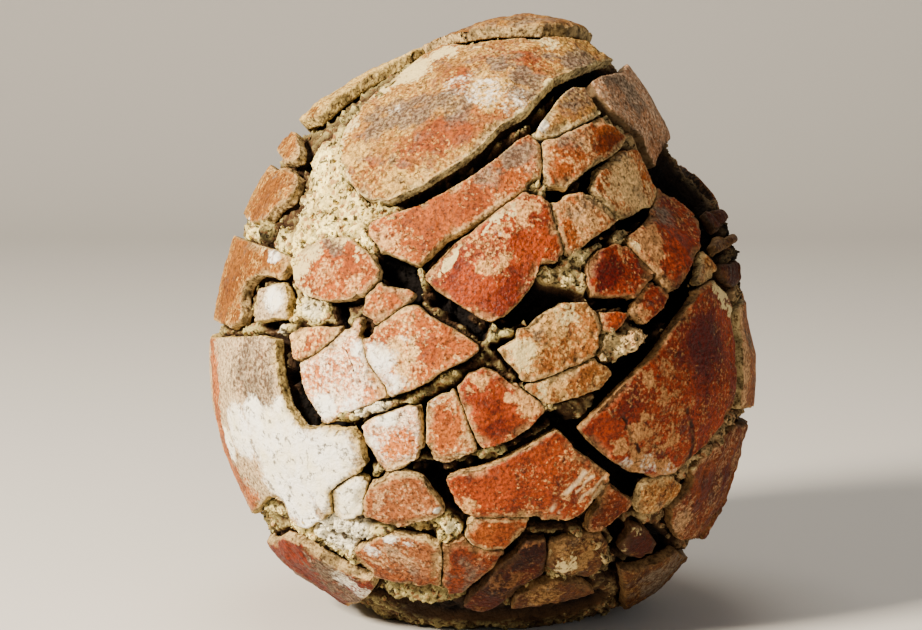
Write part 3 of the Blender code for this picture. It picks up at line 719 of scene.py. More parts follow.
    "shell_dark_chip": PlateLook(
        SHADED_OXBLOOD, mark(Kind.FRESH, (43, 22, 5)) + mark(Kind.SILT, (44, 26, 3, 0.6), (39, 20, 3, 0.5)),
        relief=3.2, worn=14),
    "shell_foot_orange": PlateLook(
        RUST, mark(Kind.FRESH, (8, 26, 7), (2, 24, 5, 0.8)) + mark(Kind.IRON, (6, 25, 4, 0.5))
        + mark(Kind.CRUST, (-2, 22, 2, 0.7))),
    "shell_foot_pink": PlateLook(
        RUSSET, mark(Kind.BLOOM, (-6, 13, 3, 0.5)) + mark(Kind.STAIN, (-4, 13, 8, 0.5))
        + mark(Kind.FRESH, (-4, 12, 7), (-6, 18, 5)) + mark(Kind.CRUST, (-9, 20, 2, 0.6))),
    "shell_foot_left": PlateLook(
        DUSKY, mark(Kind.CRUST, (-25, 24, 3, 0.9), (-30, 20, 3, 0.6), (-20, 22, 2, 0.5))
        + mark(Kind.STAIN, (-20, 15, 8, 0.5), (-29, 14, 6, 0.4))
        + mark(Kind.BLOOM, (-23, 19, 5, 0.8), (-29, 18, 4, 0.6))
        + mark(Kind.FRESH, (-12, 19, 5, 0.8), (-33, 14, 5, 0.8), (-18, 10, 7), (-26, 11, 6, 0.9))
        + mark(Kind.IRON, (-18, 9, 7), (-26, 10, 6, 0.9), (-11, 12, 4, 0.7))),
    "shell_limb_foot_left": PlateLook(
        PATCHED, mark(Kind.FRESH, (-56, 21, 9), (-51, 17, 8), (-46, 12, 4, 0.9))
        + mark(Kind.STAIN, (-42, 14, 8, 0.9), (-37, 8, 8, 0.9), (-33, 6, 7, 0.9), (-50, 11, 6, 0.8))
        + mark(Kind.CRUST, (-37, 12, 6, 0.55), (-32, 8, 6, 0.55)) + mark(Kind.BLOOM, (-40, 16, 5, 0.6))
        + line(Kind.SILT, 0.9, (-52, 24), (-45, 21.5), (-39, 18), (-34, 14)), relief=2.4, worn=2),
    "shell_foot_dark": PlateLook(
        SHADED_OXBLOOD, mark(Kind.IRON, (12, 20, 6), (4, 12, 6))
        + mark(Kind.BLOOM, (14, 24, 3), (8, 12, 4, 0.9)), relief=1.8, worn=3),
    "shell_foot_grey": PlateLook(
        UMBER, mark(Kind.BLOOM, (22, 20, 4), (29, 17, 4))
        + mark(Kind.SILT, (24, 16, 4, 0.7), (18, 18, 3, 0.7)), relief=3.2, worn=6),
    "shell_foot_brown": PlateLook(
        UMBER, mark(Kind.BLOOM, (18, 8, 6, 0.6)) + mark(Kind.FRESH, (8, 8, 6, 0.7), (27, 8, 5, 0.7)),
        relief=2.6, worn=6),
    "shell_foot_right": PlateLook(
        UMBER, mark(Kind.STAIN, (50, 12, 12, 0.9)), shards=2, relief=3.2, worn=9),
    "shell_back_foot_right": PlateLook(RUSSET, mark(Kind.SILT, (40, 30, 9, 0.5)), shards=7),
    "shell_back_foot_middle": PlateLook(RUST, shards=8),
    "shell_back_foot_left": PlateLook(DUSKY, shards=7),
    "shell_back_right": PlateLook(
        DUSKY, mark(Kind.BLOOM, (72, 84, 6, 0.9), (73, 72, 7), (72, 60, 6, 0.8))
        + mark(Kind.STAIN, (74, 78, 5, 0.8)), shards=5),
    "shell_back_middle_right": PlateLook(BRICK, shards=7),
    "shell_back_middle_left": PlateLook(TAN, shards=7),
    "shell_back_left": PlateLook(SALMON, shards=6),
    "shell_back_shoulder_right": PlateLook(SOOTED, shards=6),
    "shell_back_shoulder_middle": PlateLook(DRAB, shards=6),
    "shell_back_shoulder_left": PlateLook(DUSKY, shards=5),
}


def crack(depth: float, half_width: float, *points: Place) -> list[Stroke]:
    """Return strokes of one depth and width along a line of board points."""
    return [Stroke(a, b, half_width, depth) for a, b in zip(points, points[1:])]


# The sediment between the plates, from the broad to the small: later strokes lie over earlier ones.
# Each row gives a depth, a half-width and the points of a line.
SEDIMENT = [
    stroke for row in (
        # Open cracks that run across the face.
        (9.0, 1.5, (-20, 117), (-8, 123), (2, 130), (13, 137)),
        (6.0, 1.0, (14, 138), (22, 147)),
        (9.0, 2.0, (23, 149), (30, 152), (39, 154)),
        (7.0, 1.0, (16, 135), (18, 122)),
        (7.5, 0.9, (-5, 108), (8, 117), (15, 122)),
        (9.0, 1.1, (-14, 99), (-8, 105)),
        (8.0, 1.1, (16, 119.5), (28, 120.5), (32, 126), (37, 130), (42, 133)),
        (7.0, 1.6, (19, 118), (23, 118.6)),
        (6.0, 0.8, (30, 146), (34, 141), (41, 135)),
        (8.5, 1.7, (41, 111.5), (48, 116)),
        (6.0, 0.9, (32, 120), (35, 115), (38, 111)),
        (8.0, 1.2, (29, 104.5), (37, 108)),
        (7.0, 0.9, (42, 103), (50, 96), (54, 91)),
        (6.0, 4.2, (17, 87), (25, 91)),
        (9.5, 2.2, (10, 85), (15, 91), (18, 94)),
        (8.5, 1.3, (31, 88.5), (42, 88.5)),
        (7.0, 0.9, (42, 88), (46, 94)),
        (9.5, 3.4, (62, 95), (55, 90), (49, 82)),
        (9.5, 3.4, (49, 82), (46, 76), (38, 67), (33, 62)),
        (8.0, 0.9, (13, 66), (24, 70), (35, 74)),
        (6.0, 1.3, (8, 49), (14, 53), (20, 57)),
        (9.0, 2.2, (22, 56), (30, 50), (38, 42)),
        (9.5, 3.0, (38, 42), (45, 36)),
        (8.0, 1.2, (45, 36), (43, 30)),
        (6.5, 0.8, (-4, 60), (-1, 50)),
        (8.5, 1.0, (-16.5, 63), (-16, 46)),
        (8.0, 1.1, (-35, 55), (-33, 49), (-30, 43)),
        (5.0, 1.0, (-23, 42), (-16, 42.5), (-8, 43), (0, 44)),
        (9.0, 2.3, (-14, 41), (-10, 36), (-6.5, 30)),
        (8.0, 1.0, (-31, 39), (-33, 34)),
        (8.0, 1.0, (-41.5, 36.5), (-38, 40), (-32, 42)),
        (9.0, 3.0, (-53, 79), (-52.5, 68), (-50.5, 62)),
        (9.5, 3.8, (-50.5, 62), (-45, 55)),
        (8.5, 4.2, (-25, 99), (-19, 97)),
        (7.0, 1.4, (-13, 90), (-6, 86), (0, 80.5)),
        (8.0, 1.3, (2, 81), (8, 83)),
        (7.0, 1.3, (4, 77), (8, 79)),
        (8.0, 1.5, (-40, 88), (-40, 84)),
        (5.0, 1.0, (-31, 82), (-25, 86), (-18, 91)),
        (6.0, 1.4, (-49.5, 131), (-48.5, 127)),
        (5.0, 1.0, (-59, 111), (-53, 112)),
        (6.5, 1.8, (-60.5, 106.5), (-58, 108)),
        (5.0, 1.1, (-54, 99), (-53.5, 96)),
        (5.5, 1.3, (-64, 91), (-61, 91)),
        (6.0, 1.3, (-61, 82.5), (-57, 82.5)),
        (7.0, 2.0, (-56, 32), (-53, 28)),
        (7.0, 1.0, (-46, 25), (-42.5, 23.5)),
        (5.0, 0.7, (-35, 28.5), (-28, 26.5), (-20, 25.5)),
        (9.0, 2.4, (14, 26.5), (27, 26.5)),
        (8.0, 1.0, (-5, 8), (5, 16), (13, 25)),
        (6.0, 0.9, (-10.5, 22), (-11, 9)),
        (8.0, 2.2, (39, 29), (39, 18)),
        (8.0, 2.8, (47, 23), (53, 18)),
        (13.0, 9.0, (51, 127), (56, 122), (61, 117), (63, 112)),
        (9.0, 2.6, (61, 112), (61, 100)),
        (1.2, 4.6, (66, 111), (69.5, 101), (72, 92), (74, 82)),
        (0.9, 6.5, (70, 113), (74, 102), (76, 92), (77, 82)),
        (5.0, 1.3, (56, 42), (62, 47), (68, 53)),
        (7.0, 2.6, (-31, 6), (-24, 4)),
        (5.0, 6.0, (-16, 1), (30, 3)),
        (7.0, 2.4, (38, 12), (54, 20), (60, 26)),
        (7.0, 1.6, (12, 14), (20, 12), (34, 14)),
        # Sediment nearly level with the shell, and over its edges.
        (0.2, 4.6, (-45, 130), (-44, 119)),
        (0.4, 5.6, (-48, 113), (-38, 112)),
        (0.9, 4.0, (-56, 106), (-38, 108)),
        (-0.4, 3.2, (-39.5, 132), (-39.5, 124), (-38, 120)),
        (-0.2, 2.6, (-36, 118), (-31, 114), (-25, 113.5)),
        (-0.2, 2.0, (-43, 133), (-36, 138), (-30, 143), (-21, 150)),
        (5.0, 0.8, (-46, 134.6), (-38, 140), (-33, 145.5), (-22, 153)),
        (0.7, 2.2, (-34, 109), (-31, 104)),
        (0.3, 2.6, (-51, 104), (-50, 94)),
        (0.3, 2.8, (-65, 111), (-60, 109.5)),
        (0.7, 3.0, (-52, 86), (-45, 87)),
        (0.8, 1.3, (-28, 96), (-26, 92)),
        (0.8, 1.6, (-17, 98), (-16, 94)),
        (0.9, 1.6, (-66, 81.5), (-62, 81.5)),
        (0.9, 1.3, (-56, 81.5), (-53, 81.5)),
        (0.5, 1.8, (-41, 57), (-34, 58.5), (-27, 60)),
        (1.5, 1.7, (-27, 60), (-15, 64), (-7, 69)),
        (1.3, 1.2, (-30, 42.2), (-24, 41.5)),
        (0.4, 3.0, (-52, 26.5), (-45, 23.5), (-38, 20), (-35, 17)),
        (0.2, 3.4, (-48, 29), (-41, 27), (-34, 25)),
        (7.0, 0.8, (-53, 25.5), (-44, 21), (-37, 16.5)),
        (0.5, 1.8, (-34, 24), (-26, 24.5)),
        (1.0, 2.0, (-60, 31), (-57, 30)),
        (0.7, 2.4, (-9, 27), (-7, 24)),
        (0.5, 2.2, (-10.5, 22.5), (-8, 21)),
        (0.8, 3.4, (19, 97), (28, 95)),
        (0.9, 2.2, (24, 101), (33, 104)),
        (0.4, 2.0, (38, 107), (41, 109)),
        (0.5, 1.8, (36, 140), (44, 133)),
        (1.0, 1.8, (45, 133), (46, 127)),
        (0.9, 1.8, (14, 121), (17, 121)),
        (0.4, 2.2, (4, 80.5), (8, 80.5)),
        (-0.3, 3.4, (39, 76.5), (44, 79)),
        (0.4, 2.4, (35, 75), (37, 80)),
        (0.8, 2.4, (11, 63.5), (19, 60)),
        (2.6, 3.0, (26, 59), (31, 61)),
        (0.6, 1.6, (1, 47), (5, 47.5)),
        (0.5, 2.6, (48, 36), (51, 38)),
        (1.2, 2.0, (47, 30), (47, 27)),
        (1.2, 2.4, (28, 24), (34, 20)),
        (1.2, 3.0, (-24, 7), (-12, 6)),
        (-0.4, 1.8, (56, 41), (60, 46), (66, 51.5), (71, 56)),
        (-0.3, 1.6, (27, 23.5), (32, 21), (35, 17)),
        (0.2, 1.6, (36, 28), (38, 31)),
        (-0.3, 1.3, (17, 14), (25, 12.5), (33, 15)),
    ) for stroke in crack(*row)
]

# On the sediment: white lime, bright clean silt, and near-black painted shade laid as stain marks.
ON_SEDIMENT = (
    mark(Kind.CRUST, (-40, 28, 12), (-47, 88, 6, 0.5), (-30, 58, 7, 0.7), (-58, 84, 8, 0.6),
        (-8, 26, 4, 0.4), (-50, 116, 10, 0.3))
    + mark(Kind.SILT, (-44, 124, 14), (-38, 110, 14), (-50, 104, 12), (-52, 90, 10), (-40, 27, 14),
          (-55, 29, 9), (-48, 24, 8), (-60, 27, 9), (-63, 111, 8), (-42, 86, 8, 0.8), (-12, 26, 8, 0.8),
          (42, 78, 6, 0.8), (22, 97, 8, 0.5), (-30, 59, 8, 0.7))
    # Painted shade: the open void at the upper right, cracks on the left and a band along the foot are
    # painted near black.
    + mark(Kind.STAIN, (50, 128, 12), (56, 123, 15), (61, 118, 15), (65, 110, 13), (66, 100, 11),
          (69, 95, 7), (72, 109, 8), (75, 99, 8), (76, 91, 7), (54, 21, 10, 0.7), (40, 14, 10, 0.7),
          (-18, 1, 10, 0.7), (0, 1, 11, 0.8), (20, 3, 11, 0.8), (-53, 75, 6), (-52, 69, 6),
          (-51, 63, 6), (-48, 58, 5), (-45.5, 54.5, 3), (-61, 106, 4, 0.9)))


def outer_form(core: bpy.types.Mesh) -> Surface:
    """Return the egg's whole outer form, which lies a set distance over the sediment core.

    Args:
        core: The CAD core's mesh.

    Returns:
        The form that the shell's outer face follows.
    """
    shell = core.copy()
    points = coordinates(shell) - CENTRE
    reach = np.linalg.norm(points, axis=1)[:, None]
    set_coordinates(shell, CENTRE + points * (1.0 + CORE_UNDER_SURFACE / reach))
    return Surface([shell])


@dataclass
class Site:
    """Where things are: the board, and the egg's outer form to lay marks on."""

    board: Board
    form: Surface

    def touch(self, across: float, up: float) -> Vector:
        """Return the place on the egg that lies behind a board point, in millimetres.

        Args:
            across: Millimetres to the right of the egg's foot.
            up: Millimetres above it along the board.

        Returns:
            The place, or the one nearest the line of sight where the line misses the egg.
        """
        ray = (self.board.place(across, up) - self.board.eye).normalized()
        found = self.form.hit(self.board.eye, ray)
        if found:
            return found
        nearest = self.board.eye + ray * (EGG_CENTRE - self.board.eye).dot(ray)
        return self.form.tree.find_nearest(nearest)[0]


@dataclass
class Finisher:
    """Builds the materials, which share the site that marks are laid on.

    Attributes:
        site: The site.
        soft: Where a mark starts to show and where it shows in full, against its radius.
    """

    site: Site
    soft: tuple[float, float] = (1.3, 0.35)

    def begun(self, name: str) -> tuple[bpy.types.Material, bpy.types.NodeTree, bpy.types.Node]:
        """Start a material.

        Args:
            name: The material's name.

        Returns:
            The material, its empty tree, and the surface place in millimetres.
        """
        material = bpy.data.materials.new(name)
        material.use_nodes = True
        tree = material.node_tree
        tree.nodes.clear()
        place = add(tree, "ShaderNodeTexCoord").outputs["Object"]
        return material, tree, add(tree, "ShaderNodeVectorMath", {0: place, "Scale": 1.0 / MM},
                                   operation="SCALE")

    def marked(self, tree: bpy.types.NodeTree, place: Source, kind: Kind, marks: tuple[Mark, ...],
               floor: float = 0.0) -> Source:
        """Return the strength of one kind of mark over the surface.

        Args:
            tree: The material's tree.
            place: The surface place in millimetres, already ragged.
            kind: The kind of mark.
            marks: All the marks on the piece.
            floor: How strong this kind is everywhere.

        Returns:
            The strength, or the floor itself where no mark is of that kind.
        """
        strength: Source = floor
        starts, full = self.soft
        for spot in (m for m in marks if m.kind is kind):
            start = self.site.touch(spot.across, spot.up)
            offset = add(tree, "ShaderNodeVectorMath", {0: place, 1: start}, operation="SUBTRACT")
            foot: bpy.types.Node | Vector = Vector()
            if spot.end:
                along = self.site.touch(*spot.end) - start
                share = add(tree, "ShaderNodeVectorMath", {0: offset, 1: along / along.length_squared},
                            operation="DOT_PRODUCT")
                held = add(tree, "ShaderNodeClamp", {"Value": share})
                foot = add(tree, "ShaderNodeVectorMath", {0: along, "Scale": held}, operation="SCALE")
            reach = add(tree, "ShaderNodeVectorMath", {0: offset, 1: foot}, operation="DISTANCE")
            faded = add(tree, "ShaderNodeMapRange", {
                "Value": reach, "From Min": spot.radius * starts, "From Max": spot.radius * full,
                "To Min": 0.0, "To Max": spot.strength}, interpolation_type="SMOOTHSTEP")
            strength = add(tree, "ShaderNodeMath", {0: strength, 1: faded}, operation="MAXIMUM")
        return strength

    def eggshell(self, name: str, look: PlateLook) -> bpy.types.Material:
        """Make one plate's fossil eggshell.

        It is calcite that iron has stained brick red to tan. Nodules about 1.1 mm across give it a
        fine orange-peel grain, the bloom lies in soft drifts some 7 mm wide, and the broken edge
        shows the paler columns of the shell's section.

        Args:
            name: The plate's name.
            look: Its finish and marks.

        Returns:
            The material.
        """
        finish, marks = look.finish, look.marks
        material, tree, place = self.begun(f"fossil_{name}")

        # The place pushed about by a noise of 4.5 mm, which makes a mark's edge wavy to ragged.
        wobble = add(tree, "ShaderNodeTexNoise", {"Vector": place, "Scale": 1 / 4.5, "Detail": 4.0})
        centred = add(tree, "ShaderNodeVectorMath", {0: wobble.outputs["Color"], 1: (0.5, 0.5, 0.5)},
                      operation="SUBTRACT")
        wavy, uneven, ragged = (
            add(tree, "ShaderNodeVectorMath", {0: place, 1: add(
                tree, "ShaderNodeVectorMath", {0: centred, "Scale": push}, operation="SCALE")},
                operation="ADD") for push in (3.0, 9.0, 15.0))

        # Patterns by the width of one lump in millimetres. The grit is drawn at 0.9 mm, as coarse
        # as it needs to show.
        broad, drift, grit, blot, scales, freckles = (
            add(tree, "ShaderNodeTexNoise", {
                "Vector": where, "Scale": 1 / size, "Detail": detail, "Roughness": harshness})
            for where, size, detail, harshness in (
                (place, 9.0, 6.0, 0.66), (ragged, 7.0, 5.0, 0.62), (place, 0.9, 3.0, 0.60),
                (place, 4.5, 6.0, 0.72), (wavy, 3.6, 7.0, 0.68), (place, 2.1, 5.0, 0.66)))
        grits = add(tree, "ShaderNodeSeparateColor", {0: grit.outputs["Color"]}).outputs
        iron, fresh, bloom, stain, film, crust, crack_lines, scratch = (
            self.marked(tree, where, kind, marks, floor) for where, kind, floor in (
                (ragged, Kind.IRON, 0.0), (ragged, Kind.FRESH, 0.0),
                (ragged, Kind.BLOOM, finish.bloom), (ragged, Kind.STAIN, finish.stain),
                (uneven, Kind.SILT, 0.0), (wavy, Kind.CRUST, finish.crust),
                (wavy, Kind.CRACK, 0.0), (wavy, Kind.SCRATCH, 0.0)))

        # The shell itself: broad mottling, redder where it holds more iron.
        mottle = add(tree, "ShaderNodeMapRange", {"Value": broad, "From Min": 0.42, "From Max": 0.66})
        deeper = add(tree, "ShaderNodeMath", {0: mottle, 1: iron}, operation="ADD", use_clamp=True)

        # Chalky bloom: a soft haze, and grains of it that crowd together where it is thick; the pale
        # grains are also painted glints, where the shell would sparkle. Clean shell has little of either.
        # On shell that is all bloom, it takes more to look clean.
        cleaned = -1.05 if finish.bloom > 0.9 else -0.45
        kept = add(tree, "ShaderNodeMath", {0: fresh, 1: cleaned, 2: bloom}, operation="MULTIPLY_ADD")
        drifted, haze = broken(tree, kept, 0.55, drift, 0.58, 1.06, 0.62)
        _, grains = broken(tree, drifted, 0.75, grits[0], 0.95, 1.17, 0.86)
        bloom_and_glints = add(tree, "ShaderNodeMath", {0: haze, 1: grains}, operation="MAXIMUM")

        # Grey-brown manganese stain in blotches, dark pores near 0.8 mm wide, and light and dark
        # grains over all of it.
        _, stained = broken(tree, stain, 0.40, blot, 0.58, 0.86, 0.8)
        _, pores = broken(tree, stain, -0.11, grits[1], 0.46, 0.35, 0.7, "LINEAR")
        shell = coated(tree, linear(finish.base), (deeper, finish.deep), (bloom_and_glints, finish.pale),
                       (stained, "7A6C58"), (pores, "3A1A0A"))
        speck = add(tree, "ShaderNodeMapRange", {
            "Value": grits[2], "From Min": 0.34, "From Max": 0.66, "To Min": 0.50, "To Max": 1.44})
        specked = add(tree, "ShaderNodeVectorMath", {0: shell, "Scale": speck}, operation="SCALE")

        # A film of cream silt, then white lime crust with small grey gaps in it.
        _, filmed = broken(tree, film, 0.62, grits[0], 0.74, 0.98, 0.92)
        scaly = add(tree, "ShaderNodeMix", {SHARE: 0.55, 2: scales, 3: grits[0]})
        clean_cut = add(tree, "ShaderNodeMath", {0: fresh, 1: -0.8, 2: crust},
                        operation="MULTIPLY_ADD", use_clamp=True)
        crusted, limed = broken(tree, clean_cut, 0.62, scaly, 0.68, 1.0)
        freckle = add(tree, "ShaderNodeMapRange", {
            "Value": freckles, "From Min": 0.44, "From Max": 0.36, "To Min": 0.0, "To Max": 0.9})
        lime = coated(tree, linear("FFFCF0"), (mottle, "F6EDC6"), (freckle, "6E685A"))

        # Hairline cracks between islands about 13 mm across, only here and there, and the lines
        # laid out for this plate.
        web = add(tree, "ShaderNodeTexVoronoi", {"Vector": ragged, "Scale": 1 / 13.0},
                  feature="DISTANCE_TO_EDGE")
        hair = add(tree, "ShaderNodeMapRange", {
            "Value": web, "From Min": 0.016, "From Max": 0.004, "To Min": 0.0, "To Max": 0.7})
        here = add(tree, "ShaderNodeMapRange", {"Value": drift, "From Min": 0.55, "From Max": 0.60})
        stray = add(tree, "ShaderNodeMath", {0: hair, 1: here}, operation="MULTIPLY")
        cracked = add(tree, "ShaderNodeMath", {0: stray, 1: crack_lines}, operation="MAXIMUM")

        # Worn rims are pale, and the broken edge shows ochre calcite in fine columns, with blots of
        # dirt, and painted shade that darkens it the deeper it lies under the outer face and the nearer
        # its neighbour.
        wear, wall, below = (
            add(tree, "ShaderNodeAttribute", attribute_name=measure).outputs["Fac"]
            for measure in ("wear", "wall", "below"))
        _, worn = broken(tree, wear, 0.45, freckles, 0.76, 0.96, 0.5, "LINEAR")
        column = add(tree, "ShaderNodeMapRange", {
            "Value": grits[1], "From Min": 0.34, "From Max": 0.56})
        # Painted shade on the broken edge, by how far it lies under the face.
        edge_shade = add(tree, "ShaderNodeMapRange", {
            "Value": below, "From Min": 0.7, "From Max": 2.2, "To Min": 0.0, "To Max": 0.92})
        soiled = add(tree, "ShaderNodeMapRange", {
            "Value": blot, "From Min": 0.46, "From Max": 0.60, "To Min": 0.0, "To Max": 0.7})
        dirt_and_edge_shade = add(tree, "ShaderNodeMath", {0: edge_shade, 1: soiled}, operation="MAXIMUM")
        section = coated(tree, linear("5A4026"), (column, finish.edge), (dirt_and_edge_shade, "1E120A"))
        colour = coated(tree, specked, (filmed, "DCC688"), (limed, lime), (cracked, "2A140A"),
                        (scratch, "F2D2A0"), (worn, finish.edge), (wall, section))

        # Relief: nodules, grain, the crust's thickness and the cracks.
        nodules = add(tree, "ShaderNodeTexVoronoi", {"Vector": place, "Scale": 1 / 1.1},
                      feature="SMOOTH_F1")
        height: Source = grits[2]
        for part, rise in ((nodules, -0.5), (crusted, 1.3), (cracked, -1.6)):
            height = add(tree, "ShaderNodeMath", {0: part, 1: rise, 2: height},
                         operation="MULTIPLY_ADD")
        bump = add(tree, "ShaderNodeBump", {"Height": height, "Strength": 0.75, "Distance": 0.55 * MM})

        # Handling has polished the clean parts a little, and bloom is fully matt.
        rough = add(tree, "ShaderNodeMapRange", {
            "Value": drifted, "From Min": 0.4, "From Max": 0.9,
            "To Min": 0.62 - 0.35 * finish.gloss, "To Max": 0.88})
        shader = add(tree, "ShaderNodeBsdfPrincipled", {
            "Base Color": colour, "Roughness": rough, "IOR": 1.5,
            "Specular IOR Level": 0.06 + 0.14 * finish.gloss, "Normal": bump})
        add(tree, "ShaderNodeOutputMaterial", {"Surface": shader})
        return material

    def siltstone(self, name: str, crumbs: bool) -> bpy.types.Material:
        """Make the hardened sediment: cream silt with sand-sized grains and dark pits.

        Silt that has been ground and cemented reads as a matt, pebbly cream. The deeper it lies
        in a crack, the more painted shade it carries: brown, then nearly black.

        Args:
            name: The material's name.
            crumbs: True for loose grains, each of its own tint.

        Returns:
            The material.
        """
        material, tree, place = self.begun(name)
        # The third is painted shade: where the stain marks on the sediment lie, it goes near black.
        clean, lime, manganese = (self.marked(tree, place, kind, ON_SEDIMENT)
                                  for kind in (Kind.SILT, Kind.CRUST, Kind.STAIN))
        broad, pits = (
            add(tree, "ShaderNodeTexNoise", {
                "Vector": place, "Scale": 1 / size, "Detail": detail, "Roughness": harshness})
            for size, detail, harshness in ((8.0, 8.0, 0.7), (1.6, 4.0, 0.6)))
        mottle = add(tree, "ShaderNodeMapRange", {"Value": broad, "From Min": 0.30, "From Max": 0.66})

        # Rosier and darker towards the right: partly iron carried out of the red plates there, partly
        # painted shade on the side away from the key light.
        across = add(tree, "ShaderNodeSeparateXYZ", {0: place})
        iron_wash_and_shade = add(tree, "ShaderNodeMapRange", {
            "Value": across, "From Min": 5.0, "From Max": 45.0, "To Min": 0.0, "To Max": 0.62})
        silt = coated(tree, linear("886830"), (mottle, "FFF09E"), (iron_wash_and_shade, "C4946C"))

        # Sand-sized grains 1 mm wide, each of its own shade, and some of them red shell.
        grains = add(tree, "ShaderNodeTexVoronoi", {"Vector": place, "Scale": 1 / 1.0})
        tint = add(tree, "ShaderNodeSeparateColor", {0: grains.outputs["Color"]})
        own = (add(tree, "ShaderNodeNewGeometry").outputs["Random Per Island"] if crumbs
               else tint.outputs[0])
        shade = add(tree, "ShaderNodeMapRange", {
            "Value": own, "From Min": 0.0, "From Max": 1.0, "To Min": 0.66, "To Max": 1.22})
        lighter = add(tree, "ShaderNodeMapRange", {"Value": clean, "To Min": 0.66, "To Max": 1.45})
        bright = add(tree, "ShaderNodeMath", {0: shade, 1: lighter}, operation="MULTIPLY")
        grained = add(tree, "ShaderNodeVectorMath", {0: silt, "Scale": bright}, operation="SCALE")
        red = add(tree, "ShaderNodeMapRange", {
            "Value": tint.outputs[1], "From Min": 0.84, "From Max": 0.88,
            "To Min": 0.0, "To Max": 0.7})

        # White lime; pits painted near black as shade in the bump's low spots; and painted shade that
        # turns the silt brown, then near black, the deeper it lies in a crack, and near black under the
        # marks of painted shade.
        _, limed = broken(tree, lime, 0.8, broad, 0.7, 1.1)
        # Painted shade: the pits are the low spots of the bump, painted near black.
        pit_shade = add(tree, "ShaderNodeMapRange", {
            "Value": pits, "From Min": 0.48, "From Max": 0.39, "To Min": 0.0, "To Max": 0.92})
        depth = add(tree, "ShaderNodeAttribute", attribute_name="depth").outputs["Fac"]
        # Painted shade: brown from 1 to 3.1 mm deep, near black from 3 to 5.4 mm.
        depth_shade_brown, depth_shade_black = (
            add(tree, "ShaderNodeMapRange", {"Value": depth, "From Min": low, "From Max": high})
            for low, high in ((1.0, 3.1), (3.0, 5.4)))
        # Painted shade: the deepest cracks and the stain marks on the sediment go near black alike.
        filmed = add(tree, "ShaderNodeMath", {0: depth_shade_black, 1: manganese}, operation="MAXIMUM")
        colour = coated(tree, grained, (red, "8E5230"), (limed, "F4ECCC"), (pit_shade, "201408"),
                        (depth_shade_brown, "402C1A"), (filmed, "0B0705"))
        height = add(tree, "ShaderNodeMath", {0: grains, 1: -0.8, 2: pits}, operation="MULTIPLY_ADD")
        bump = add(tree, "ShaderNodeBump", {"Height": height, "Strength": 0.8, "Distance": 0.9 * MM})
        shader = add(tree, "ShaderNodeBsdfPrincipled", {
            "Base Color": colour, "Roughness": 0.92, "IOR": 1.5, "Specular IOR Level": 0.12,
            "Normal": bump})
        add(tree, "ShaderNodeOutputMaterial", {"Surface": shader})
        return material

    def paper(self, name: str, colour: str) -> bpy.types.Material:
        """Make the studio's matt paper, which lights the egg evenly from below.

        Its fibres are too fine to show, so the faint unevenness is drawn at 1.5 mm.

        Args:
            name: The material's name.
            colour: Its sRGB hex colour.

        Returns:
            The material.
        """
        material, tree, place = self.begun(name)
        fibre = add(tree, "ShaderNodeTexNoise", {"Vector": place, "Scale": 1 / 1.5, "Detail": 3.0})
        bump = add(tree, "ShaderNodeBump", {"Height": fibre, "Strength": 0.05, "Distance": 0.1 * MM})
        shader = add(tree, "ShaderNodeBsdfPrincipled", {
            "Base Color": linear(colour), "Roughness": 0.9, "Normal": bump})
        add(tree, "ShaderNodeOutputMaterial", {"Surface": shader})
        return material


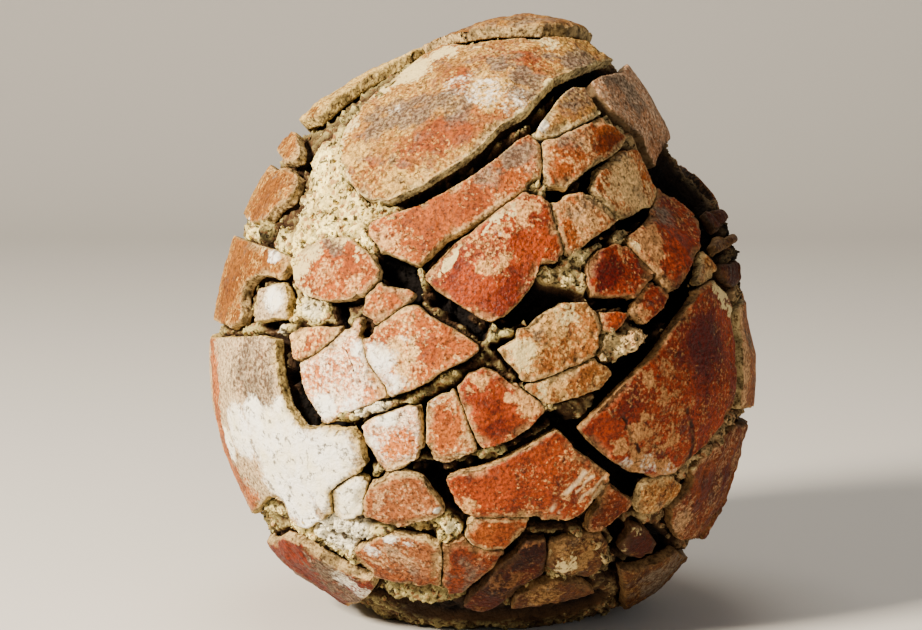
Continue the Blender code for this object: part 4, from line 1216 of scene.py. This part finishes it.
@dataclass
class ShellPlate:
    """One broken plate of shell, redrawn from its CAD node.

    Attributes:
        name: The CAD node that it stands for.
        look: Its finish, marks and shards.
        chip: How far the broken edge is eaten back, at most.
        round_over: How far the rim is worn down.
        swell: How far the outer face rises and falls.
        grain: How far its finer roughness does.
        flake: How deep the rim has flaked away where it has.
        shard_gap: The width of the crack between shards.
        shard_depth: How deep that crack is.
        shard_lift: How far a shard may stand in or out.
        shard_lean: How far a shard may lean, against its width.
        joint: How wide the plate leaves a tight joint with its neighbour.
        joint_reach: How far away a neighbour still counts.
        draw_in: How far the edge grows at most to close a joint.
        kept: The share of the faces that the plain inner side keeps.
    """

    name: str
    look: PlateLook
    chip: float = 0.42
    round_over: float = 0.06
    swell: float = 0.28
    grain: float = 0.10
    flake: float = 0.75
    shard_gap: float = 0.9
    shard_depth: float = 1.9
    shard_lift: float = 0.35
    shard_lean: float = 0.03
    joint: float = 0.25
    joint_reach: float = 3.0
    draw_in: float = 1.05
    kept: float = 0.64
    mesh: bpy.types.Mesh = field(init=False)

    @property
    def voxel(self) -> float:
        """The fine mesh's cell: small on whole plates, larger on those broken into shards."""
        return 0.56 if self.look.shards == 1 else 0.64

    @property
    def seed(self) -> float:
        """A number of the plate's own, so no two are alike."""
        return sum(ord(letter) * (i + 1) for i, letter in enumerate(self.name)) % 97 + 0.37

    def cuts(self, points: np.ndarray, on_face: np.ndarray) -> tuple[np.ndarray, np.ndarray]:
        """Return how near each point lies to a crack between shards, and how far its shard shifted.

        Args:
            points: The fine mesh's vertices, in millimetres.
            on_face: True for each one on the outer face.

        Returns:
            The distances to the nearest crack, and each point's outward shift.
        """
        draw = np.random.default_rng(int(self.seed * 100))
        ragged = shaken(points, 4.0, 3, [self.seed + k for k in (1, 2, 4)], 1.6)
        places = points[on_face]
        seeds = [places[draw.integers(len(places))]]
        while len(seeds) < self.look.shards:
            tries = places[draw.integers(len(places), size=24)]
            nearest = np.min([np.linalg.norm(tries - seed, axis=1) for seed in seeds], axis=0)
            seeds.append(tries[nearest.argmax()])
        middles = np.array(seeds)
        reach = np.linalg.norm(ragged[:, None] - middles[None], axis=2)
        order = np.argsort(reach, axis=1)
        near, far = (np.take_along_axis(reach, order[:, k:k + 1], 1)[:, 0] for k in (0, 1))
        apart = np.linalg.norm(middles[order[:, 0]] - middles[order[:, 1]], axis=1)
        to_crack = (far ** 2 - near ** 2) / (2.0 * np.maximum(apart, 1e-6))
        own = order[:, 0]
        lift = draw.uniform(-self.shard_lift, self.shard_lift, len(seeds))[own]
        lean = draw.uniform(-self.shard_lean, self.shard_lean, (len(seeds), 3))[own]
        return to_crack, lift + ((points - middles[own]) * lean).sum(axis=1)

    def build(self, source: bpy.types.Mesh, neighbours: Surface) -> None:
        """Build the plate's fine mesh.

        Args:
            source: The CAD node's mesh.
            neighbours: The other plates.
        """
        solid = bmesh.new()
        solid.from_mesh(source)
        bmesh.ops.remove_doubles(solid, verts=solid.verts[:], dist=0.02 * MM)
        fine = applied(drawn(solid, f"{self.name}_solid"), "REMESH", mode="VOXEL",
                       voxel_size=self.voxel * MM)
        if self.look.worn:
            fine = applied(fine, "SMOOTH", factor=0.5, iterations=self.look.worn)
        self.weather(fine, neighbours)
        inner = np.flatnonzero(self.facing(fine, coordinates(fine)) < -0.6)
        self.mesh = applied(fine, "DECIMATE", {"hidden": inner}, ratio=self.kept,
                            vertex_group="hidden", vertex_group_factor=1000.0)
        self.mesh.name = self.name

    def facing(self, mesh: bpy.types.Mesh, points: np.ndarray) -> np.ndarray:
        """Return how far each vertex faces outward: 1 on the outer face, -1 on the inner."""
        return (normals(mesh) * outward(points)).sum(axis=1)

    def joints(self, points: np.ndarray, side: np.ndarray, neighbours: Surface) -> np.ndarray:
        """Return how far off the next plate is at each point, up to the joint's reach.

        Args:
            points: The fine mesh's vertices.
            side: How far each one is on the broken edge.
            neighbours: The other plates.

        Returns:
            The distances.
        """
        gap = np.full(len(points), self.joint_reach)
        for index in np.flatnonzero(side > 0.05):
            gap[index] = neighbours.clearance(Vector(points[index]), self.joint_reach)
        return gap

    def weather(self, mesh: bpy.types.Mesh, neighbours: Surface) -> None:
        """Chip the edges, wear the rim and swell the face, and store where that is.

        Args:
            mesh: The plate's fine mesh, changed in place.
            neighbours: The other plates.
        """
        points = coordinates(mesh)
        facing = self.facing(mesh, points)
        side = 1.0 - smooth(np.abs(facing), 0.45, 0.85)
        outer = smooth(facing, 0.2, 0.7)
        reach = distances(points, side > 0.6)
        gap = self.joints(points, side, neighbours)
        on_face = facing > 0.8
        # How far under the outer face, counted less where no neighbour is near: the painted shade on the
        # broken edge follows it.
        below = distances(points, on_face) * (1.0 - smooth(gap, 1.4, 2.8) * 0.8)

        # The edge: bitten in chips of 3.4 and 1.3 mm, and grown where a joint is to close.
        coarse_bite = ripple(points, 3.4, 3, self.seed)
        fine_bite = ripple(points, 1.3, 2, self.seed + 5.0)
        bite = self.chip * np.clip(coarse_bite + 0.1, 0.0, 1.0) + 0.12 * fine_bite
        bite -= np.clip((gap - self.joint) / 2, 0.0, self.draw_in) * (1.0 - smooth(gap, 2.0, 2.9))

        # The outer face: swells of 11 mm and grain of 2.6 mm, worn and here and there flaked rims.
        near = 1.0 - smooth(reach, 0.2, 1.5)
        flaky = smooth(ripple(points, 7.0, 2, self.seed + 9.0), 0.12, 0.35)
        flaked = flaky * (1.0 - smooth(reach, 0.6, 2.5)) * outer
        rise = ripple(points, 11.0, 4, self.seed + 2.0) * self.swell
        rise += ripple(points, 2.6, 3, self.seed + 3.0) * self.grain
        rise *= self.look.relief
        split = np.zeros(len(points))
        if self.look.shards > 1:
            to_crack, shift = self.cuts(points, on_face)
            split = 1.0 - smooth(to_crack, self.shard_gap * 0.3, self.shard_gap * 0.9)
            rise += shift - self.shard_depth * split
            bite += 0.8 * split
        rise = outer * (rise - self.round_over * near - self.flake * flaked)

        away = outward(points)
        sideways = normals(mesh) - away * facing[:, None]
        moved = points - sideways * (bite * side)[:, None] + away * rise[:, None]
        moved[:, 2] = np.maximum(moved[:, 2], TABLE)
        set_coordinates(mesh, moved)
        set_measure(mesh, "wall", np.clip(smooth(side, 0.8, 1.0) + 0.6 * flaked + split, 0.0, 1.0))
        set_measure(mesh, "wear", (1.0 - smooth(reach, 0.0, 1.7)) * outer)
        # Deeper in the cracks between shards, for more painted shade there.
        set_measure(mesh, "below", below + 2.2 * split)

    def dress(self, finisher: Finisher, slot: str) -> bpy.types.Object:
        """Put the plate in the scene in its CAD node's place.

        Args:
            finisher: Builds its material.
            slot: The record's material slot for it; not used.

        Returns:
            The piece.
        """
        self.mesh.materials.clear()
        self.mesh.materials.append(finisher.eggshell(self.name, self.look))
        self.mesh.shade_smooth()
        piece = placed(f"fossil_{self.name}", self.mesh)
        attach(piece, "root")
        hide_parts(self.name)
        return piece


@dataclass
class SedimentCore:
    """The sediment lump, finely meshed between the plates.

    Attributes:
        site: Where things are.
        cells: How many cells run along each side of the rounded cube.
        front_pull: How far the cells crowd towards the front.
        gap_depth: How deep open gaps are where nothing else is said, at the front.
        back_depth: The same at the back, where silt fills the cracks.
        under_plates: The space between the lump and the plates' inner faces.
        least_cover: How far under the shell's outer face it lies beneath a plate, at least.
        at_edge: How far under a plate's outer face it may reach at the plate's edge.
        steepest: How much deeper each cell beneath a plate may lie than the next one.
        creep: Sediment higher than this depth creeps over the plates' edges.
        shrunk: How much deeper it lies right beside a plate, where it has shrunk away.
        level_with: Sediment less deep than this hasn't shrunk.
        open_gap: Sediment deeper than this also draws back beneath the plates beside it.
    """

    site: Site
    cells: int = 124
    front_pull: float = 0.35
    gap_depth: float = 2.5
    back_depth: float = 2.2
    under_plates: float = 0.35
    least_cover: float = 3.6
    at_edge: float = 0.9
    steepest: float = 0.5
    creep: float = 0.2
    shrunk: float = 2.4
    level_with: float = 0.9
    open_gap: float = 3.4
    mesh: bpy.types.Mesh = field(init=False)
    bare: np.ndarray = field(init=False)
    depth: np.ndarray = field(init=False)

    def directions(self) -> bmesh.types.BMesh:
        """Make a rounded cube of unit size.

        Returns:
            The cube, with its cells crowded towards the front.
        """
        ball = bmesh.new()
        bmesh.ops.create_cube(ball, size=2.0)
        bmesh.ops.subdivide_edges(ball, edges=ball.edges[:], cuts=self.cells - 1, use_grid_fill=True)
        for vertex in ball.verts:
            spread = Vector([math.tan(c * math.pi / 4) for c in vertex.co]).normalized()
            vertex.co = (spread - Vector((0.0, self.front_pull, 0.0))).normalized()
        return ball

    def laid(self, places: np.ndarray, strokes: list[Stroke], level: np.ndarray) -> np.ndarray:
        """Return the depths with strokes laid over them.

        Args:
            places: Points on the egg's surface, already ragged.
            strokes: The strokes, in order.
            level: The depths before.

        Returns:
            The depths after.
        """
        for stroke in strokes:
            start = np.array(self.site.touch(*stroke.start))
            along = np.array(self.site.touch(*stroke.end)) - start
            share = np.clip((places - start) @ along / max(along @ along, 1e-6), 0.0, 1.0)
            reach = np.linalg.norm(places - start - share[:, None] * along, axis=1)
            weight = 1.0 - smooth(reach / stroke.radius, 0.55, 1.25)
            level = level * (1.0 - weight) + stroke.depth * weight
        return level

    def levels(self, surface: np.ndarray) -> np.ndarray:
        """Return how deep the sediment lies in an open gap, before it shrinks.

        Args:
            surface: Points on the shell's outer form.

        Returns:
            The depths under that form.
        """
        behind = smooth(surface[:, 1], -18.0, 8.0)
        level = self.gap_depth + (self.back_depth - self.gap_depth) * behind
        level = self.laid(shaken(surface, 3.0, 2, (3.1, 8.2, 5.4), 1.2), SEDIMENT, level)
        # Lumps of 4.5 and 1.6 mm, fewer of them in the depths, and pits of 1.9 mm.
        lumps = ripple(surface, 4.5, 4, 1.3) * 1.1 + ripple(surface, 1.6, 3, 6.6) * 0.6
        pits = smooth(ripple(surface, 1.9, 2, 4.1), 0.12, 0.42)
        return level - lumps * np.clip(1.4 - level / 12.0, 0.5, 1.2) + pits * 0.8

    def build(self, plates: Surface) -> None:
        """Build the lump's fine mesh.

        Args:
            plates: The finished plates, which it lies under and between.
        """
        ball = self.directions()
        unit = np.array([vertex.co[:] for vertex in ball.verts])
        links = np.array([[end.index for end in edge.verts] for edge in ball.edges])
        body = np.empty(len(unit))
        outer = np.full(len(unit), np.nan)
        inner = np.full(len(unit), np.nan)
        for index, direction in enumerate(unit):
            along = Vector(direction)
            body[index] = self.site.form.radius_outside(along)
            found = plates.radius_outside(along)
            if found:
                outer[index] = found
                inner[index] = plates.radius_inside(along) or found - SHELL

        # Between plates: the level, deeper right beside a plate.
        level = self.levels(CENTRE + unit * body[:, None])
        covered = ~np.isnan(outer)
        beside = CENTRE + unit * (body - 1.2)[:, None]
        for index in np.flatnonzero(~covered & (level > self.level_with)):
            clear = plates.clearance(Vector(beside[index]), 1.5)
            level[index] += self.shrunk * (1.0 - float(smooth(np.array(clear), 0.3, 1.1))) * min(
                (level[index] - self.level_with) / 1.2, 1.0)
        gap = body - level

        # Under plates: close beneath them, with the first cell reaching up to meet the gap.
        under = np.where(covered, inner - self.under_plates, 0.0)
        edge = np.zeros(len(unit), bool)
        edge[links[covered[links[:, 0]] != covered[links[:, 1]]].ravel()] = True
        edge &= covered
        hollow = np.where(level > self.open_gap, gap, np.inf)
        radius = np.where(
            covered, np.minimum(np.minimum(under, body - self.least_cover), hollow), gap)
        radius[edge] = np.minimum(gap[edge], outer[edge] - self.at_edge)
        for _ in range(3):
            slope = np.full(len(unit), np.inf)
            for near, far in ((0, 1), (1, 0)):
                np.minimum.at(slope, links[:, far], radius[links[:, near]] + self.steepest)
            radius = np.where(covered, np.minimum(radius, slope), radius)

        # Over plates, where it stands high, and cut flat by the table.
        over = covered & (level < self.creep)
        radius[over] = outer[over] + self.creep - level[over]
        lowest = np.where(unit[:, 2] < -1e-6, EGG_CENTRE.z / np.maximum(-unit[:, 2], 1e-6), 1e9)
        radius = np.minimum(radius, lowest)

        self.bare = ~covered & (radius < lowest - 0.5)
        self.depth = body - radius
        self.mesh = drawn(ball, "sediment")
        set_coordinates(self.mesh, CENTRE + unit * radius[:, None])
        set_measure(self.mesh, "depth", self.depth)

    def dress(self, finisher: Finisher) -> bpy.types.Object:
        """Put the lump in the scene in the CAD core's place.

        Args:
            finisher: Builds its material.

        Returns:
            The piece.
        """
        self.mesh.materials.append(finisher.siltstone("siltstone_core", crumbs=False))
        self.mesh.shade_smooth()
        piece = placed("siltstone_core", self.mesh)
        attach(piece, "root")
        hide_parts("sediment_core")
        return piece


@dataclass
class Crumbs:
    """Loose grains of silt that lie in the gaps.

    Attributes:
        core: The lump that they lie on.
        count: How many there are.
        smallest: The least radius of a grain.
        largest: The most.
        shallow: No more than a few lie deeper than this.
        behind: How many more lie at the back than at the front.
        sunk: How far a grain is sunk into the ground, against its radius.
    """

    core: SedimentCore
    count: int = 2400
    smallest: float = 0.18
    largest: float = 1.25
    shallow: float = 3.4
    behind: float = 2.2
    sunk: float = 0.1

    def build(self) -> bpy.types.Mesh:
        """Make all the grains as one mesh of small uneven lumps.

        Returns:
            The mesh.
        """
        draw = np.random.default_rng(SEED)
        ground = coordinates(self.core.mesh)
        upward = normals(self.core.mesh)
        chance = self.core.bare * np.clip(self.shallow - self.core.depth, 0.02, 2.6)
        chance = chance * np.where(ground[:, 1] < 0.0, 1.0, self.behind)
        picks = draw.choice(len(ground), self.count, p=chance / chance.sum(), replace=False)
        lump = bmesh.new()
        bmesh.ops.create_icosphere(lump, subdivisions=1, radius=1.0)
        corners = np.array([vertex.co[:] for vertex in lump.verts])
        faces = np.array([[v.index for v in face.verts] for face in lump.faces])
        lump.free()
        points: list[np.ndarray] = []
        for pick in picks:
            size = self.smallest + (self.largest - self.smallest) * draw.random() ** 3.4
            shape = corners * draw.uniform(0.55, 1.3, (len(corners), 1))
            shape = shape * draw.uniform(0.5, 1.1, 3) * size
            axis, turn = draw.normal(size=3), draw.uniform(0, math.tau)
            spin = np.array(Matrix.Rotation(turn, 3, Vector(axis)))
            grain = shape @ spin.T + ground[pick] - upward[pick] * size * self.sunk
            grain[:, 2] = np.maximum(grain[:, 2], TABLE)
            points.append(grain)
        mesh = bpy.data.meshes.new("silt_crumbs")
        mesh.from_pydata(
            (np.concatenate(points) * MM).tolist(), [],
            np.concatenate([faces + i * len(corners) for i in range(self.count)]).tolist())
        return mesh

    def dress(self, finisher: Finisher) -> bpy.types.Object:
        """Put the grains in the scene.

        Args:
            finisher: Builds their material.

        Returns:
            The piece.
        """
        mesh = self.build()
        mesh.materials.append(finisher.siltstone("siltstone_crumbs", crumbs=True))
        piece = placed("silt_crumbs", mesh)
        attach(piece, "root")
        return piece


@dataclass
class Studio:
    """A plain pale sweep of paper, and soft lights with the key at the upper left.

    Attributes:
        board: Where the camera stands.
        width: The sweep's width, in millimetres.
        front: How far it reaches before the egg.
        depth: How far it reaches behind the egg before it rises.
        height: How far it rises.
        bend: The radius of its bend.
        steps: How many flats make up the bend.
        surround: The strength of the light from all sides.
    """

    board: Board
    width: float = 4000.0
    front: float = 1500.0
    depth: float = 900.0
    height: float = 1800.0
    bend: float = 400.0
    steps: int = 12
    surround: float = 0.20

    def sweep(self, finisher: Finisher) -> bpy.types.Object:
        """Add the paper sweep: floor, bend and wall in one sheet.

        Args:
            finisher: Builds its material.

        Returns:
            The sheet.
        """
        profile = [(-self.front, 0.0)]
        for step in range(self.steps + 1):
            turn = math.radians(90.0 * step / self.steps)
            profile.append((self.depth + self.bend * math.sin(turn),
                            self.bend * (1.0 - math.cos(turn))))
        profile.append((self.depth + self.bend, self.height))
        sheet = bmesh.new()
        edges = [[sheet.verts.new((x * MM, y * MM, z * MM)) for x in (-self.width / 2, self.width / 2)]
                 for y, z in profile]
        for (a, b), (c, d) in zip(edges, edges[1:]):
            sheet.faces.new((a, b, d, c))
        mesh = drawn(sheet, "paper_sweep")
        mesh.shade_smooth()
        mesh.materials.append(finisher.paper("studio_paper", "CBC8C2"))
        floor = placed("paper_sweep", mesh)
        return floor

    def light(self, name: str, place: tuple[float, float, float], size: float, power: float,
              colour: str) -> bpy.types.Object:
        """Add a square softbox that faces the egg.

        Args:
            name: The light's name.
            place: Where it stands, in millimetres.
            size: Its side, in millimetres.
            power: Its power, in watts.
            colour: Its sRGB hex colour.

        Returns:
            The light.
        """
        data = bpy.data.lights.new(name, "AREA")
        data.shape = "SQUARE"
        data.size = size * MM
        data.energy = power
        data.color = linear(colour)[:3]
        light = placed(name, data)
        light.location = stand = Vector(place) * MM
        light.rotation_euler = (EGG_CENTRE * MM - stand).to_track_quat("-Z", "Y").to_euler()
        return light

    def world(self) -> None:
        """Set an even pale surround."""
        world = bpy.data.worlds.new("studio")
        world.use_nodes = True
        background = world.node_tree.nodes["Background"].inputs
        background["Color"].default_value = linear("E9EBEE")
        background["Strength"].default_value = self.surround
        bpy.context.scene.world = world

    def set_up(self, finisher: Finisher) -> None:
        """Add the sweep, the lights, the surround and the camera.

        Args:
            finisher: Builds the paper.
        """
        self.sweep(finisher)
        self.light("key_softbox", (-760.0, -560.0, 640.0), 240.0, 46.0, "FFF0DA")
        self.light("fill_softbox", (760.0, -700.0, 260.0), 700.0, 1.6, "F8F6FA")
        self.light("top_softbox", (-60.0, 160.0, 900.0), 500.0, 4.0, "FFF8EC")
        self.world()
        self.board.camera()


def triangles(mesh: bpy.types.Mesh) -> int:
    """Return how many triangles a mesh draws."""
    return sum(len(face.vertices) - 2 for face in mesh.polygons)


def main() -> None:
    """Build the egg's looks and the studio round it."""
    logging.basicConfig(level=logging.INFO, format="%(message)s")
    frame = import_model()
    nodes = frame["nodes"]
    slots = {row["node"]: row["material_slot"] for row in frame["record"]["subparts"]}
    board = Board()
    site = Site(board, outer_form(nodes["sediment_core"].data))
    finisher = Finisher(site)

    plates = [ShellPlate(name, look) for name, look in PLATES.items()]
    for plate in plates:
        others = [nodes[name].data for name in PLATES if name != plate.name]
        plate.build(nodes[plate.name].data, Surface(others))
        plate.dress(finisher, slots[plate.name])
        LOG.info("%s: %d triangles", plate.name, triangles(plate.mesh))

    core = SedimentCore(site)
    core.build(Surface([plate.mesh for plate in plates]))
    core.dress(finisher)
    LOG.info("sediment: %d triangles", triangles(core.mesh))
    crumbs = Crumbs(core).dress(finisher)
    LOG.info("crumbs: %d triangles", triangles(crumbs.data))
    meshes = [plate.mesh for plate in plates] + [core.mesh, crumbs.data]
    LOG.info("all: %d triangles", sum(triangles(mesh) for mesh in meshes))

    Studio(board).set_up(finisher)


if __name__ == "__main__":
    main()
